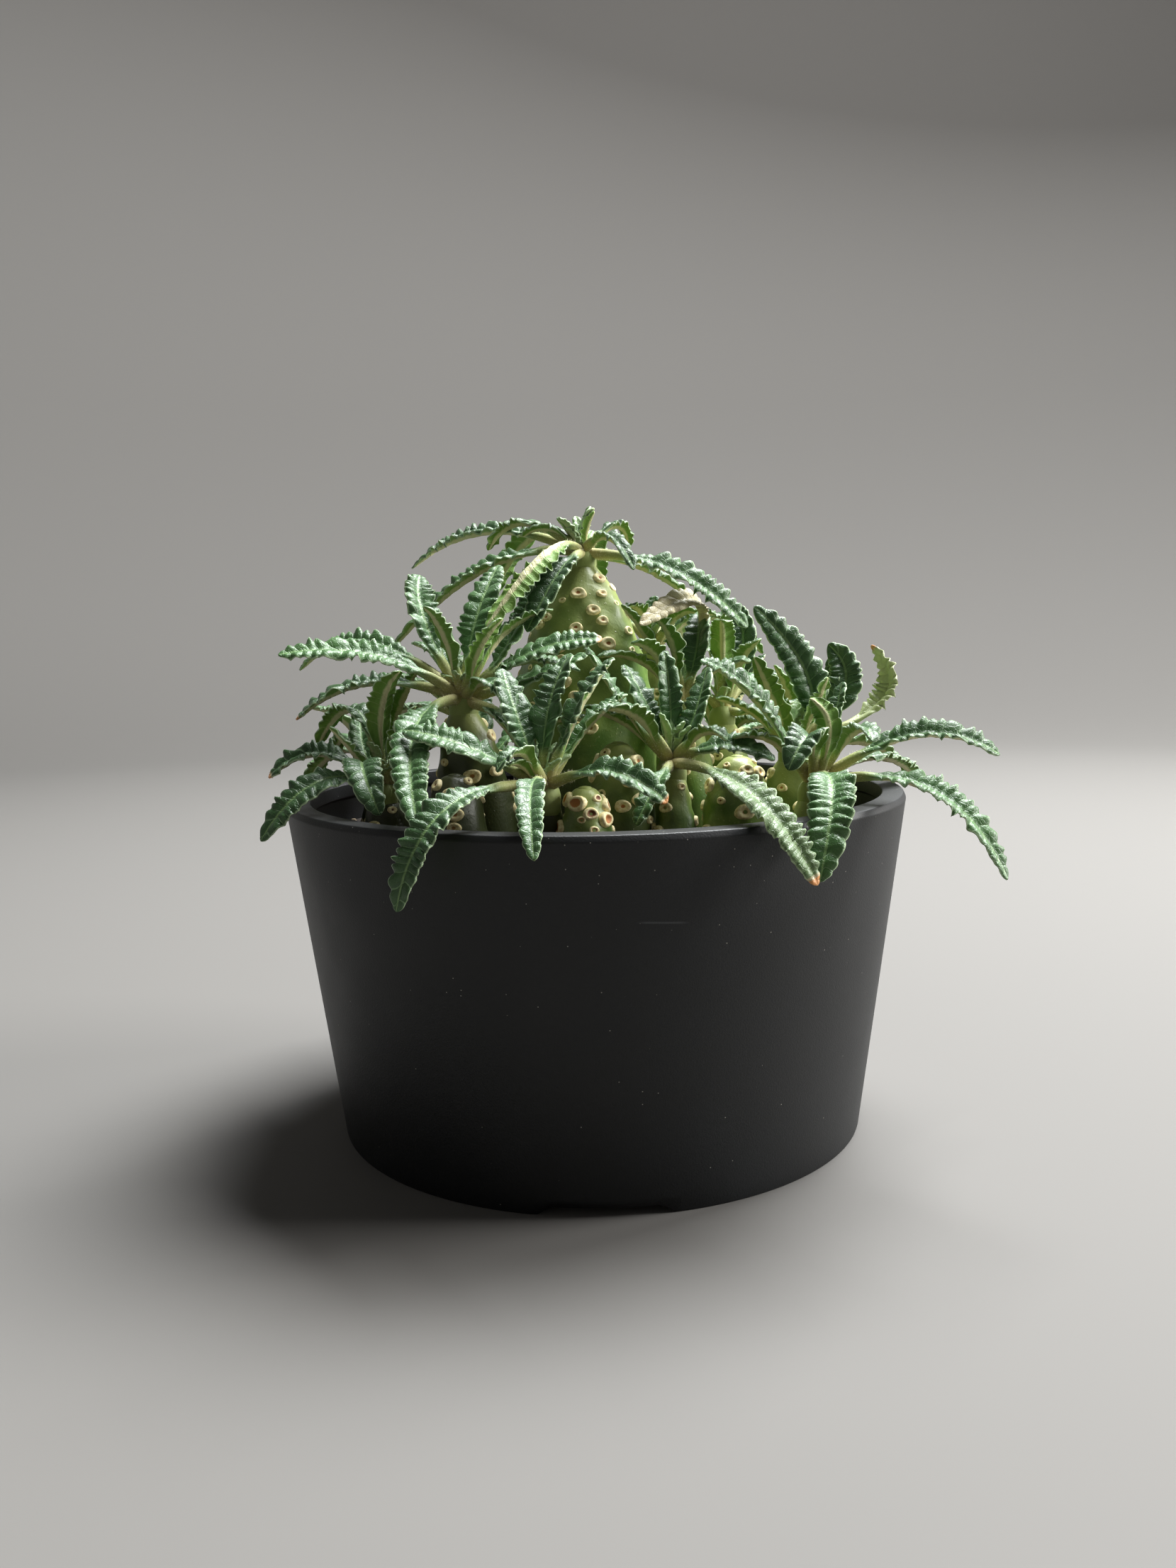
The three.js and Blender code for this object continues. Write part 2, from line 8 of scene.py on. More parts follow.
import bpy
import numpy as np
from mathutils import Matrix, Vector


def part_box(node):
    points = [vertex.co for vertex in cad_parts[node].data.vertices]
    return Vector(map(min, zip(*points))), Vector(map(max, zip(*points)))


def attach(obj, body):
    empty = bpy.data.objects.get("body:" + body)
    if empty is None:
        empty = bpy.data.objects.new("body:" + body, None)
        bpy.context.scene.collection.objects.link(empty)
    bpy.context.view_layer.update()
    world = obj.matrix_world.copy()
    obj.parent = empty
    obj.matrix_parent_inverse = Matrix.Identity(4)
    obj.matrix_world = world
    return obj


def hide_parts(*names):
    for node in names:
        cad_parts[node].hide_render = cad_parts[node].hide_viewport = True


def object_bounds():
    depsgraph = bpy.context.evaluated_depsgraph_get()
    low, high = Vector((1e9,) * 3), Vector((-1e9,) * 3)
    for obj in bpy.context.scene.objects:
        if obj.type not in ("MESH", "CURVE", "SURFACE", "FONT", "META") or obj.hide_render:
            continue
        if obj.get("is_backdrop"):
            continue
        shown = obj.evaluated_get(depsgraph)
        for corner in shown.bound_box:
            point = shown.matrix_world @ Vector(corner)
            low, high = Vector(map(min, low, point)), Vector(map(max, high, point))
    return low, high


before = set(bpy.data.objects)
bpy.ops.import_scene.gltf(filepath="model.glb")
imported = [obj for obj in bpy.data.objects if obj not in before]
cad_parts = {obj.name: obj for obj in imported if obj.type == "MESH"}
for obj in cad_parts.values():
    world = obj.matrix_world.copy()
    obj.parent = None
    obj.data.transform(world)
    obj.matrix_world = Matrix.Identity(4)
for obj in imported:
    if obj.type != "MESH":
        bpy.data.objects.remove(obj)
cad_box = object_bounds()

pot_low, pot_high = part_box("pot")
AXIS = np.array([(pot_low.x + pot_high.x) / 2, (pot_low.y + pot_high.y) / 2, 0.0])
MM = 0.001
RIM_Z = 81.0
print("The pot's axis stands at", AXIS.round(5), "and its rim at", pot_high.z)

# %% [markdown]
# ## The camera
# The photograph was taken from a little above the rim, with a slight tilt of the camera. Blender's camera
# looks along its own minus Z with Y up, so its matrix is built from three directions: right, up and back.
# The lens follows from the height of the picture, because the sensor's 36 mm lie along the longer side.

# %% Place the camera
CAMERA_AT = np.array([-1.83, -308.25, 118.12])
PITCH_DOWN = np.radians(6.645)
ROLL = np.radians(-1.237)
FOCAL_PIXELS = 1757.8
PICTURE_HEIGHT = 2212
SENSOR = 36.0


def camera_matrix(at, pitch, roll):
    """Columns right, up and back: ahead = (0, cos pitch, -sin pitch), and right and up turn by the roll."""
    ahead = np.array([0, np.cos(pitch), -np.sin(pitch)])
    right = np.array([1.0, 0, 0])
    up = np.cross(right, ahead)
    turned_right = np.cos(roll) * right + np.sin(roll) * up
    turned_up = -np.sin(roll) * right + np.cos(roll) * up
    matrix = np.eye(4)
    matrix[:3, :] = np.column_stack([turned_right, turned_up, -ahead, at * MM + AXIS])
    return Matrix(matrix.tolist())


camera_data = bpy.data.cameras.new("camera")
camera_data.lens = FOCAL_PIXELS * SENSOR / PICTURE_HEIGHT
camera_data.sensor_width = SENSOR
camera_data.clip_start = 0.01
camera = bpy.data.objects.new("camera", camera_data)
camera.matrix_world = camera_matrix(CAMERA_AT, PITCH_DOWN, ROLL)
bpy.context.collection.objects.link(camera)
bpy.context.scene.camera = camera
print("The lens is", round(camera_data.lens, 2), "mm")

# %% [markdown]
# ## Surfaces from arrays
# A leaf, a stem, a scar and the pot's wall are all tubes: rings of points, each joined to the next, with a
# fan at either end. One small class collects such tubes for a piece, so that a crown of twelve leaves is
# still one mesh. Each point may carry two triples of numbers, called place and look, which the finishes
# read later: where it is on its leaf, and how that leaf looks.


# %% Collect tubes into a piece
def ring_faces(rows, columns):
    """Quads between a grid's rings, then a fan at the first ring and one at the last, to two more points."""
    row = np.arange(rows - 1)[:, None] * columns
    column = np.arange(columns)
    beside = (column + 1) % columns
    quads = np.stack([row + column, row + beside, row + beside + columns, row + column + columns], -1)
    last = (rows - 1) * columns
    first_fan = np.stack([np.full(columns, rows * columns), beside, column], -1)
    last_fan = np.stack([np.full(columns, rows * columns + 1), last + column, last + beside], -1)
    return quads.reshape(-1, 4), np.concatenate([first_fan, last_fan])


def unit(vectors):
    """Each vector divided by its length."""
    return vectors / np.linalg.norm(vectors, axis=-1, keepdims=True)


def heading(angle):
    """The level direction (cos a, sin a, 0)."""
    return np.stack([np.cos(angle), np.sin(angle), 0 * angle], -1)


class Heap:
    """Closed tubes collected for one piece, in millimetres from the pot's axis."""

    def __init__(self):
        self.points, self.places, self.looks, self.quads, self.fans = [], [], [], [], []
        self.count = 0

    def add(self, rings, place=None, look=None, ends=None):
        """Adds tubes of shape (copies, rows, columns, 3), closed at the mean of each end ring or at ends."""
        rings = rings[None] if rings.ndim == 3 else rings
        copies, rows, columns = rings.shape[:3]
        size = rows * columns + 2
        quads, fans = ring_faces(rows, columns)
        shift = self.count + np.arange(copies)[:, None, None] * size
        self.quads.append((quads + shift).reshape(-1, 4))
        self.fans.append((fans + shift).reshape(-1, 3))
        for store, values in ((self.points, rings), (self.places, place), (self.looks, look)):
            values = np.zeros_like(rings) if values is None else values
            values = np.broadcast_to(values, rings.shape)
            first, last = values[:, 0].mean(1), values[:, -1].mean(1)
            if store is self.points and ends is not None:
                first, last = ends
            flat = values.reshape(copies, rows * columns, 3)
            store.append(np.concatenate([flat, first[:, None], last[:, None]], 1).reshape(-1, 3))
        self.count += copies * size

    def piece(self, name, finish, slot, *replaced):
        """The object: its corners are listed quad by quad and then fan by fan."""
        mesh = bpy.data.meshes.new(name)
        points = np.concatenate(self.points) * MM + AXIS
        quads, fans = np.concatenate(self.quads), np.concatenate(self.fans)
        corners = np.concatenate([quads.ravel(), fans.ravel()])
        starts = np.concatenate(
            [np.arange(len(quads)) * 4, quads.size + np.arange(len(fans)) * 3])
        mesh.vertices.add(len(points))
        mesh.vertices.foreach_set("co", points.astype(np.float32).ravel())
        mesh.loops.add(len(corners))
        mesh.loops.foreach_set("vertex_index", corners.astype(np.int32))
        mesh.polygons.add(len(starts))
        mesh.polygons.foreach_set("loop_start", starts.astype(np.int32))
        mesh.update(calc_edges=True)
        for label, stored in (("place", self.places), ("look", self.looks)):
            layer = mesh.attributes.new(label, "FLOAT_VECTOR", "POINT")
            layer.data.foreach_set("vector", np.concatenate(stored).astype(np.float32).ravel())
        mesh.polygons.foreach_set("use_smooth", np.ones(len(starts), bool))
        mesh.materials.append(finish.material)
        made = bpy.data.objects.new(name, mesh)
        bpy.context.collection.objects.link(made)
        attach(made, "root")
        if replaced:
            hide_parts(*replaced)
        print(name, "has", 2 * len(quads) + len(fans), "triangles")
        return made


# %% [markdown]
# ## Shader maths as plain expressions
# A finish is a network of nodes, and most of them only add, multiply or compare numbers. A small class
# wraps one output, so that an expression such as 1 - mask * 0.4 adds its Math nodes by itself. Colours are
# mixed by a Mix node instead, because a Math node would turn them grey.


# %% Wrap a socket and a material
class Flow:
    """One output of a node, whose sums and products are Math nodes."""

    def __init__(self, finish, socket):
        self.finish, self.socket = finish, socket

    def math(self, operation, *others):
        return self.finish.math(operation, self, *others)

    def __add__(self, other):
        return self.math("ADD", other)

    def __sub__(self, other):
        return self.math("SUBTRACT", other)

    def __rsub__(self, other):
        return self.finish.math("SUBTRACT", other, self)

    def __mul__(self, other):
        return self.math("MULTIPLY", other)

    __radd__ = __add__
    __rmul__ = __mul__

    def step(self, low, high):
        """0 below low and 1 above high, with an eased climb; with low above high it falls instead."""
        return self.finish.node(
            "MapRange", {"interpolation_type": "SMOOTHSTEP"},
            {"Value": self, "From Min": low, "From Max": high})

    def parts(self):
        """The three numbers of a vector."""
        split = self.finish.node("SeparateXYZ", {}, {0: self})
        return [Flow(self.finish, socket) for socket in split.socket.node.outputs]


class Finish:
    """A material: its Principled shader, and one method that adds any other node."""

    def __init__(self, name, **constants):
        self.material = bpy.data.materials.new(name)
        self.material.use_nodes = True
        self.tree = self.material.node_tree
        self.shader = self.tree.nodes["Principled BSDF"]
        for label, value in constants.items():
            self.put(self.shader.inputs[label.replace("_", " ")], value)

    def put(self, socket, value):
        if isinstance(value, Flow):
            self.tree.links.new(value.socket, socket)
        else:
            socket.default_value = value

    def node(self, kind, settings, values, output=0):
        made = self.tree.nodes.new("ShaderNode" + kind)
        for label, value in settings.items():
            setattr(made, label, value)
        for label, value in values.items():
            self.put(made.inputs[label], value)
        return Flow(self, made.outputs[output])

    def math(self, operation, *values):
        return self.node("Math", {"operation": operation}, dict(enumerate(values)))

    def mix(self, share, first, second):
        """The first colour where the share is 0, and the second where it is 1."""
        return self.node("Mix", {"data_type": "RGBA"}, {0: share, 6: first, 7: second}, output=2)

    def layers(self, base, *coats):
        """Lays coats over a colour one by one, each given as its share and its web code."""
        for share, code in coats:
            base = self.mix(share, base, colour(code))
        return base

    def here(self):
        """Object coordinates, in metres."""
        return self.node("TexCoord", {}, {}, output="Object")

    def mark(self, label):
        """A triple of numbers that the mesh carries."""
        return self.node("Attribute", {"attribute_name": label}, {}, output="Vector")

    def noise(self, where, scale, detail=3.0):
        return self.node("TexNoise", {}, {"Vector": where, "Scale": scale, "Detail": detail})

    def cells(self, where, scale, feature, output=0):
        return self.node("TexVoronoi", {"feature": feature}, {"Vector": where, "Scale": scale}, output)

    def bump(self, height, distance, strength):
        return self.node("Bump", {}, {"Height": height, "Distance": distance, "Strength": strength})

    def wear(self, **linked):
        """Joins values to the shader's sockets by their names."""
        for label, value in linked.items():
            self.put(self.shader.inputs[label.replace("_", " ")], value)


def colour(code):
    """Linear red, green, blue and alpha of a web code: a share c turns into ((c + 0.055) / 1.055)^2.4,
    or into c / 12.92 where it is very dark."""
    shares = np.array([int(code[i : i + 2], 16) for i in (0, 2, 4)]) / 255
    linear = np.where(shares <= 0.04045, shares / 12.92, ((shares + 0.055) / 1.055) ** 2.4)
    return [*linear.tolist(), 1.0]


# %% [markdown]
# ## The leaf's finish
# A leaf is dark green and a little glossy above, and bright yellow-green below, with pale veins, a cream
# rib and a pale rim. Painting it by hand would fix it to one picture, so the finish reads the leaf's own
# measures instead: place is the share of the blade's length, the share of its half width and the count of
# side veins. The first number of look is 1 on the underside, and the second is above 0 where the leaf is
# dry. The third is the leaf's own shade: up to 1 on a common leaf, past 1.5 on a young one, and past 3 on
# a pale one.

# %% Make the leaf's finish
leaf_finish = Finish("leaf_blade", Sheen_Weight=0.06, Sheen_Roughness=0.5, Specular_IOR_Level=0.5)
along, across, vein = leaf_finish.mark("place").parts()
under, dry, shade = leaf_finish.mark("look").parts()
here = leaf_finish.here()
mottle = leaf_finish.noise(here, 240.0)
leather = leaf_finish.noise(here, 1500.0, 3.0)
speckle = leaf_finish.noise(here, 2600.0, 2.0)
net = leaf_finish.cells(here, 900.0, "DISTANCE_TO_EDGE")

out = across.math("ABSOLUTE")
on_blade = along.step(0.0, 0.12)
below = under.step(0.35, 0.65)
vein_line = vein.math("PINGPONG", 0.5).step(0.08, 0.01) * on_blade
rib_line = out.step(0.12, 0.03)
rim_line = out.step(0.9, 0.99) * on_blade
net_line = net.step(0.1, 0.0) * on_blade

upper = leaf_finish.layers(
    colour("21401d"), (mottle * 0.7 + shade * 0.4 - 0.2, "507c3d"),
    (net_line * 0.08, "6d9060"), (vein_line * 0.5, "86a878"), (rib_line * 0.6, "8fb070"))
lower = leaf_finish.layers(
    colour("55802a"), (mottle * 0.7 + shade * 0.3 - 0.1, "87ab48"),
    (vein_line * 0.35, "b4c47c"), (out.step(0.3, 0.14), "cbc898"))
blade = leaf_finish.layers(
    leaf_finish.mix(below, upper, lower), (rim_line * 0.75, "b4cba0"),
    (shade.step(1.2, 1.5) * 0.6, "a9bd92"), (shade.step(2.6, 3.0) * 0.5, "d2d49e"))
stalk = leaf_finish.layers(
    colour("a89766"), (along.step(-0.3, 0.1), "8f9c58"),
    (speckle.step(0.5, 0.7) * 0.45, "cfc79a"), (along.step(-0.5, -0.8), "8c9958"))
withered = leaf_finish.layers(
    colour("b3aa84"), (mottle.step(0.45, 0.8) * 0.6, "8f7a55"), (dry.step(1.2, 1.7), "c98a4e"))
leaf_colour = leaf_finish.mix(dry.step(0.1, 0.8), leaf_finish.mix(on_blade, stalk, blade), withered)

relief = net_line * -0.3 + leather * 0.5 + speckle * 0.15 - vein_line * 0.8 + mottle * 0.8
leaf_finish.wear(
    Base_Color=leaf_colour,
    Roughness=0.34 + mottle * 0.16 + below * 0.2 + (1 - on_blade) * 0.25,
    Normal=leaf_finish.bump(relief, 0.00018, 0.7),
)
print("The leaf's finish has", len(leaf_finish.tree.nodes), "nodes")

# %% [markdown]
# ## The stems' finish
# The stems are smooth olive green with paler clouds. Over that goes painted shade, nearly black low down
# and towards the left, where the leaves above keep the light off; the fresh dome at the front gets only a
# little of it. Each leaf that fell left a round cream scar with an orange-brown dimple. The scar's own
# rings carry its radius as a share, so the colour can follow it from the dimple to its rim.

# %% Make the stems' finish
# Painted shade on the stems: where it starts below the rim, how tall its fade is, how much higher it climbs
# towards the left, and how much the clouds move it.
SHADE_BELOW, SHADE_BAND, SHADE_EASTWARD, SHADE_CLOUDS = -0.002, 0.02, 0.45, 0.014
skin_finish = Finish("stem_skin", Specular_IOR_Level=0.5)
height, scar_radius, _ = skin_finish.mark("place").parts()
on_scar, tone, shade_spared = skin_finish.mark("look").parts()
here = skin_finish.here()
cloud = skin_finish.noise(here, 90.0)
grain = skin_finish.noise(here, 1500.0, 4.0)
fleck = skin_finish.cells(here, 640.0, "F1").step(0.16, 0.08)

# Painted shade: the stems' colour goes nearly black below the rim, and higher up on the left, away from the
# lamps, where the leaves above keep the light off.
east, _, level = here.parts()
shade_from = RIM_Z * MM + SHADE_BELOW
painted_shade = (level + cloud * SHADE_CLOUDS + east * SHADE_EASTWARD).step(shade_from + SHADE_BAND, shade_from)
# The last coat is the painted shade, 23260f, kept mostly off the fresh dome at the front.
green = skin_finish.layers(
    colour("4d6e28"), (cloud.step(0.35, 0.7), "7d9345"), (grain.step(0.55, 0.75) * 0.3, "98a45e"),
    (fleck * 0.3, "b3b37c"), ((height + cloud * 0.3).step(0.75, 1.15) * 0.6, "a6aa6c"),
    (painted_shade * 0.92 * (1 - shade_spared), "23260f"))
cork = skin_finish.layers(colour("f0e4b4"), (grain.step(0.4, 0.65), "d6c48c"))
pit = skin_finish.layers(colour("a9884e"), (tone, "b5662f"), (tone.step(0.75, 0.95), "5f3a1e"))
scar = skin_finish.mix((scar_radius + grain * 0.2).step(0.46, 0.3), cork, pit)
skin_colour = skin_finish.mix(on_scar.step(0.4, 0.6), green, scar)
skin_finish.wear(
    Base_Color=skin_colour,
    Roughness=0.33 + cloud * 0.12 + on_scar * 0.25,
    Normal=skin_finish.bump(grain * 0.6 + fleck * 0.4, 0.0002, 0.6),
)
print("The stems' finish has", len(skin_finish.tree.nodes), "nodes")

# %% [markdown]
# ## Plastic, potting mix and hairs
# The pot is matt black polypropylene with a very fine moulded texture. Light picks out specks of dust, more
# of them near the rim, and one short faint scratch on the front. A scratch is a line, so its mask is the
# distance from that line, faded out at both ends and kept to the front by the depth. The mix is dark peat
# with a few pale grains. The hairs on the stalks are colourless, so they are a pale cream that varies a
# little from tuft to tuft.

# %% Make the plastic's finish
SCRATCH_AT, SCRATCH_SLOPE = (0.0075, 0.0632), 0.06
SPECK_CELLS = 640.0
plastic_finish = Finish("pot_plastic", Specular_IOR_Level=0.42)
here = plastic_finish.here()
texture = plastic_finish.noise(here, 2600.0, 2.0)
film = plastic_finish.noise(here, 45.0, 5.0)
speck_size = plastic_finish.cells(here, SPECK_CELLS, "F1")
chance = plastic_finish.cells(here, SPECK_CELLS, "F1", output="Color").parts()[0]
x_here, depth, z_here = here.parts()
near_rim = z_here.step(0.04, 0.082)
speck = speck_size.step(0.1, 0.05) * (chance + near_rim * 0.16).step(0.9, 0.94)
off_line = (z_here - SCRATCH_AT[1] + (x_here - SCRATCH_AT[0]) * SCRATCH_SLOPE).math("ABSOLUTE")
scratch = off_line.step(0.0003, 0.0001) * (x_here - SCRATCH_AT[0]).math("ABSOLUTE").step(0.0055, 0.003)
plastic_finish.wear(
    Base_Color=plastic_finish.layers(
        colour("07090b"), (film.step(0.4, 0.8) * 0.5, "121518"), (speck * 0.7, "a8a59c"),
        (scratch * depth.step(0.0, -0.01) * film * 0.35, "6c6f72")),
    Roughness=0.42 + film * 0.18 + speck * 0.3,
    Normal=plastic_finish.bump(texture, 0.0001, 0.5),
)
print("The plastic's finish has", len(plastic_finish.tree.nodes), "nodes")

# %% Make the finishes of the mix and the hairs
mix_finish = Finish("potting_mix", Roughness=0.95)
here = mix_finish.here()
_, _, grain_tone = mix_finish.mark("look").parts()
clod = mix_finish.noise(here, 500.0, 6.0)
mix_colour = mix_finish.layers(colour("120d0a"), (clod.step(0.35, 0.7), "3a2d22"), (grain_tone, "8c7d68"))
mix_finish.wear(Base_Color=mix_colour, Normal=mix_finish.bump(clod, 0.001, 0.8))

hair_finish = Finish("stalk_hair", Roughness=0.5)
tuft = hair_finish.noise(hair_finish.here(), 700.0)
hair_finish.wear(Base_Color=hair_finish.layers(colour("c9c39c"), (tuft.step(0.3, 0.7), "e6e2c6")))
print("The mix's finish has", len(mix_finish.tree.nodes), "nodes")
print("The hairs' finish has", len(hair_finish.tree.nodes), "nodes")

# %% [markdown]
# ## The pot
# A blow-moulded nursery pot is a thin wall turned about an axis, so its surface is a profile carried round
# a circle. Its corners are eased by short curves, because a moulded edge is never sharp and an eased edge
# catches the light. The foot ring is lifted in four flat notches. A hole can't be part of a turned profile,
# so the drain holes are cut with a Boolean.

# %% Draw the pot's profile
RIM_RADIUS, BASE_RADIUS, WALL = 75.0, 64.3, 2.6
LIP_HEIGHT, FLOOR_LOW, FLOOR_TOP = 1.3, 3.0, 5.6
RIM_WIDTH, RIM_DEPTH, LIP_STEP, FOOT_WIDTH = 5.5, 3.5, 0.6, 6
CORNER_EASE = 0.3
POT_COLUMNS = 256


def wall_radius(z):
    """The wall leans out evenly from the foot's radius to the rim's."""
    return BASE_RADIUS + (RIM_RADIUS - BASE_RADIUS) * z / (RIM_Z - LIP_HEIGHT)


def eased(corners, reach, steps=5):
    """Each corner turns into a short curve: (1-b)^2 before + 2b(1-b) corner + b^2 after, b from 0 to 1."""
    corners = np.array(corners, float)
    inner = corners[1:-1]
    to_before, to_after = corners[:-2] - inner, corners[2:] - inner
    lengths = [np.linalg.norm(side, axis=1, keepdims=True) for side in (to_before, to_after)]
    reach = np.minimum(reach, np.minimum(*lengths) * 0.45)
    before, after = inner + to_before / lengths[0] * reach, inner + to_after / lengths[1] * reach
    b = np.linspace(0, 1, steps)[None, :, None]
    curve = (1 - b) ** 2 * before[:, None] + 2 * b * (1 - b) * inner[:, None] + b**2 * after[:, None]
    return np.concatenate([corners[:1], curve.reshape(-1, 2), corners[-1:]])


pot_profile = eased([
    (1, FLOOR_LOW), (BASE_RADIUS - FOOT_WIDTH, FLOOR_LOW), (BASE_RADIUS - FOOT_WIDTH, 0), (BASE_RADIUS, 0),
    (wall_radius(4), 4), (wall_radius(40), 40), (RIM_RADIUS, RIM_Z - LIP_HEIGHT),
    (RIM_RADIUS - LIP_STEP, RIM_Z), (RIM_RADIUS - RIM_WIDTH, RIM_Z),
    (RIM_RADIUS - RIM_WIDTH, RIM_Z - RIM_DEPTH),
    (wall_radius(RIM_Z - RIM_DEPTH) - WALL, RIM_Z - RIM_DEPTH - 1),
    (wall_radius(FLOOR_TOP) - WALL, FLOOR_TOP), (1, FLOOR_TOP)], CORNER_EASE)
print("The pot's profile has", len(pot_profile), "points")

# %% Turn the pot
NOTCH_HALF, NOTCH_SLANT, NOTCH_HEIGHT = 14.5, 3.0, 2.0
FOOT_RING = 9


def turned(profile, columns):
    """Carries a profile of radius and height round the axis: (r cos a, r sin a, z)."""
    angle = np.arange(columns) * 2 * np.pi / columns
    radius, z = profile[:, :1], profile[:, 1:]
    return np.stack([radius * np.cos(angle), radius * np.sin(angle), z + 0 * angle], -1)


def notched(rings):
    """Lifts the foot in four notches: z is at least the notch's height times how far up its slant it is."""
    x, y = rings[..., 0], rings[..., 1]
    off_centre = np.minimum(np.abs(x), np.abs(y))
    lift = np.clip((NOTCH_HALF - off_centre) / NOTCH_SLANT, 0, 1) * NOTCH_HEIGHT
    on_foot = np.hypot(x, y) > BASE_RADIUS - FOOT_RING
    rings[..., 2] = np.where(on_foot, np.maximum(rings[..., 2], lift), rings[..., 2])
    return rings


shell = Heap()
shell.add(notched(turned(pot_profile, POT_COLUMNS)))
pot_shell = shell.piece("pot_shell", plastic_finish, "pot_plastic", "pot")

# %% Cut the drain holes
DRAIN_RADIUS, DRAIN_CIRCLE = 5.0, 36.0
DRAIN_ANGLES = np.radians([45, 135, 225, 315])
hole_profile = np.array([(DRAIN_RADIUS, 0.0), (DRAIN_RADIUS, 9.0)])
drill = Heap()
for turn in DRAIN_ANGLES:
    drill.add(turned(hole_profile, 40) + DRAIN_CIRCLE * heading(turn))
cutter = drill.piece("drain_cutter", plastic_finish, "pot_plastic")
holes = pot_shell.modifiers.new("drains", "BOOLEAN")
holes.operation, holes.object, holes.solver = "DIFFERENCE", cutter, "EXACT"
bpy.context.view_layer.update()
whole_pot = pot_shell.evaluated_get(bpy.context.evaluated_depsgraph_get())
cut_mesh = bpy.data.meshes.new_from_object(whole_pot)
pot_shell.modifiers.remove(holes)
pot_shell.data = cut_mesh
bpy.data.objects.remove(cutter)
print("The pot has", len(cut_mesh.polygons), "faces after its holes are cut")

# %% [markdown]
# ## The potting mix
# Peat and grit lie in low lumps. A sum of many sine waves in random directions gives such ground without
# any picture: each wave adds a little height, and short waves add less than long ones. Loose grains on top
# are small squashed balls, all made at once as one array of copies.

# %% Fill the pot
SOIL_Z, SOIL_FOOT, SOIL_GAP = 71.0, 6.0, 0.8
GROUND_RELIEF = 1.6
mix_random = np.random.default_rng(5)


def lumps(x, y, longest, shortest, waves, random):
    """Height as a sum of sin(k . p + phase) times its wavelength, for waves in random directions."""
    wavelength = np.geomspace(longest, shortest, waves)
    direction, phase = random.uniform(0, 2 * np.pi, (2, waves))
    k = 2 * np.pi / wavelength
    across_wave = x[..., None] * k * np.cos(direction) + y[..., None] * k * np.sin(direction)
    return (np.sin(across_wave + phase) * wavelength).sum(-1) / wavelength.sum() * 1.8


mix_profile = np.concatenate([
    [(wall_radius(SOIL_FOOT) - WALL - SOIL_GAP, SOIL_FOOT)],
    np.column_stack([np.linspace(wall_radius(SOIL_Z) - WALL - SOIL_GAP, 0.5, 50), np.full(50, SOIL_Z)])])
ground = turned(mix_profile, 150)
ground[1:, :, 2] += GROUND_RELIEF * lumps(ground[1:, :, 0], ground[1:, :, 1], 30.0, 1.6, 60, mix_random)
mix = Heap()
mix.add(ground)

# %% Scatter loose grains
GRAINS, GRAIN_REACH = 600, 71
ball = turned(np.array([(0.7, -0.6), (1.0, 0.0), (0.6, 0.6)]), 6)
grain_size = mix_random.uniform(0.4, 1.3, (GRAINS, 1, 1, 1))
grain_size = grain_size * mix_random.uniform(0.7, 1.3, (GRAINS, 1, 1, 3))
grain_out = GRAIN_REACH * np.sqrt(mix_random.uniform(0, 1, GRAINS))
grain_angle = mix_random.uniform(0, 2 * np.pi, GRAINS)
grain_at = grain_out[:, None] * heading(grain_angle) + [0, 0, SOIL_Z + 0.4]
grain_look = np.zeros((GRAINS, 1, 1, 3))
grain_look[..., 2] = mix_random.uniform(0, 1, (GRAINS, 1, 1)) ** 3
mix.add(ball * grain_size + grain_at[:, None, None], look=grain_look)
mix.piece("potting_mix", mix_finish, "soil", "soil")

# %% [markdown]
# ## The stems
# A stem is a cone or a blunt dome that tapers from its foot to its tip, with low swellings and a soft bump
# under each scar. Its leaf scars climb it in a spiral, each turned on from the last by the golden angle of
# 137.5 degrees, which is how the real plant spaces its leaves. More scars, of flower stalks and of older
# leaves, are scattered between them, and one that would touch an earlier scar is dropped. Each is a small
# ring with a dimple, wider than it is high.

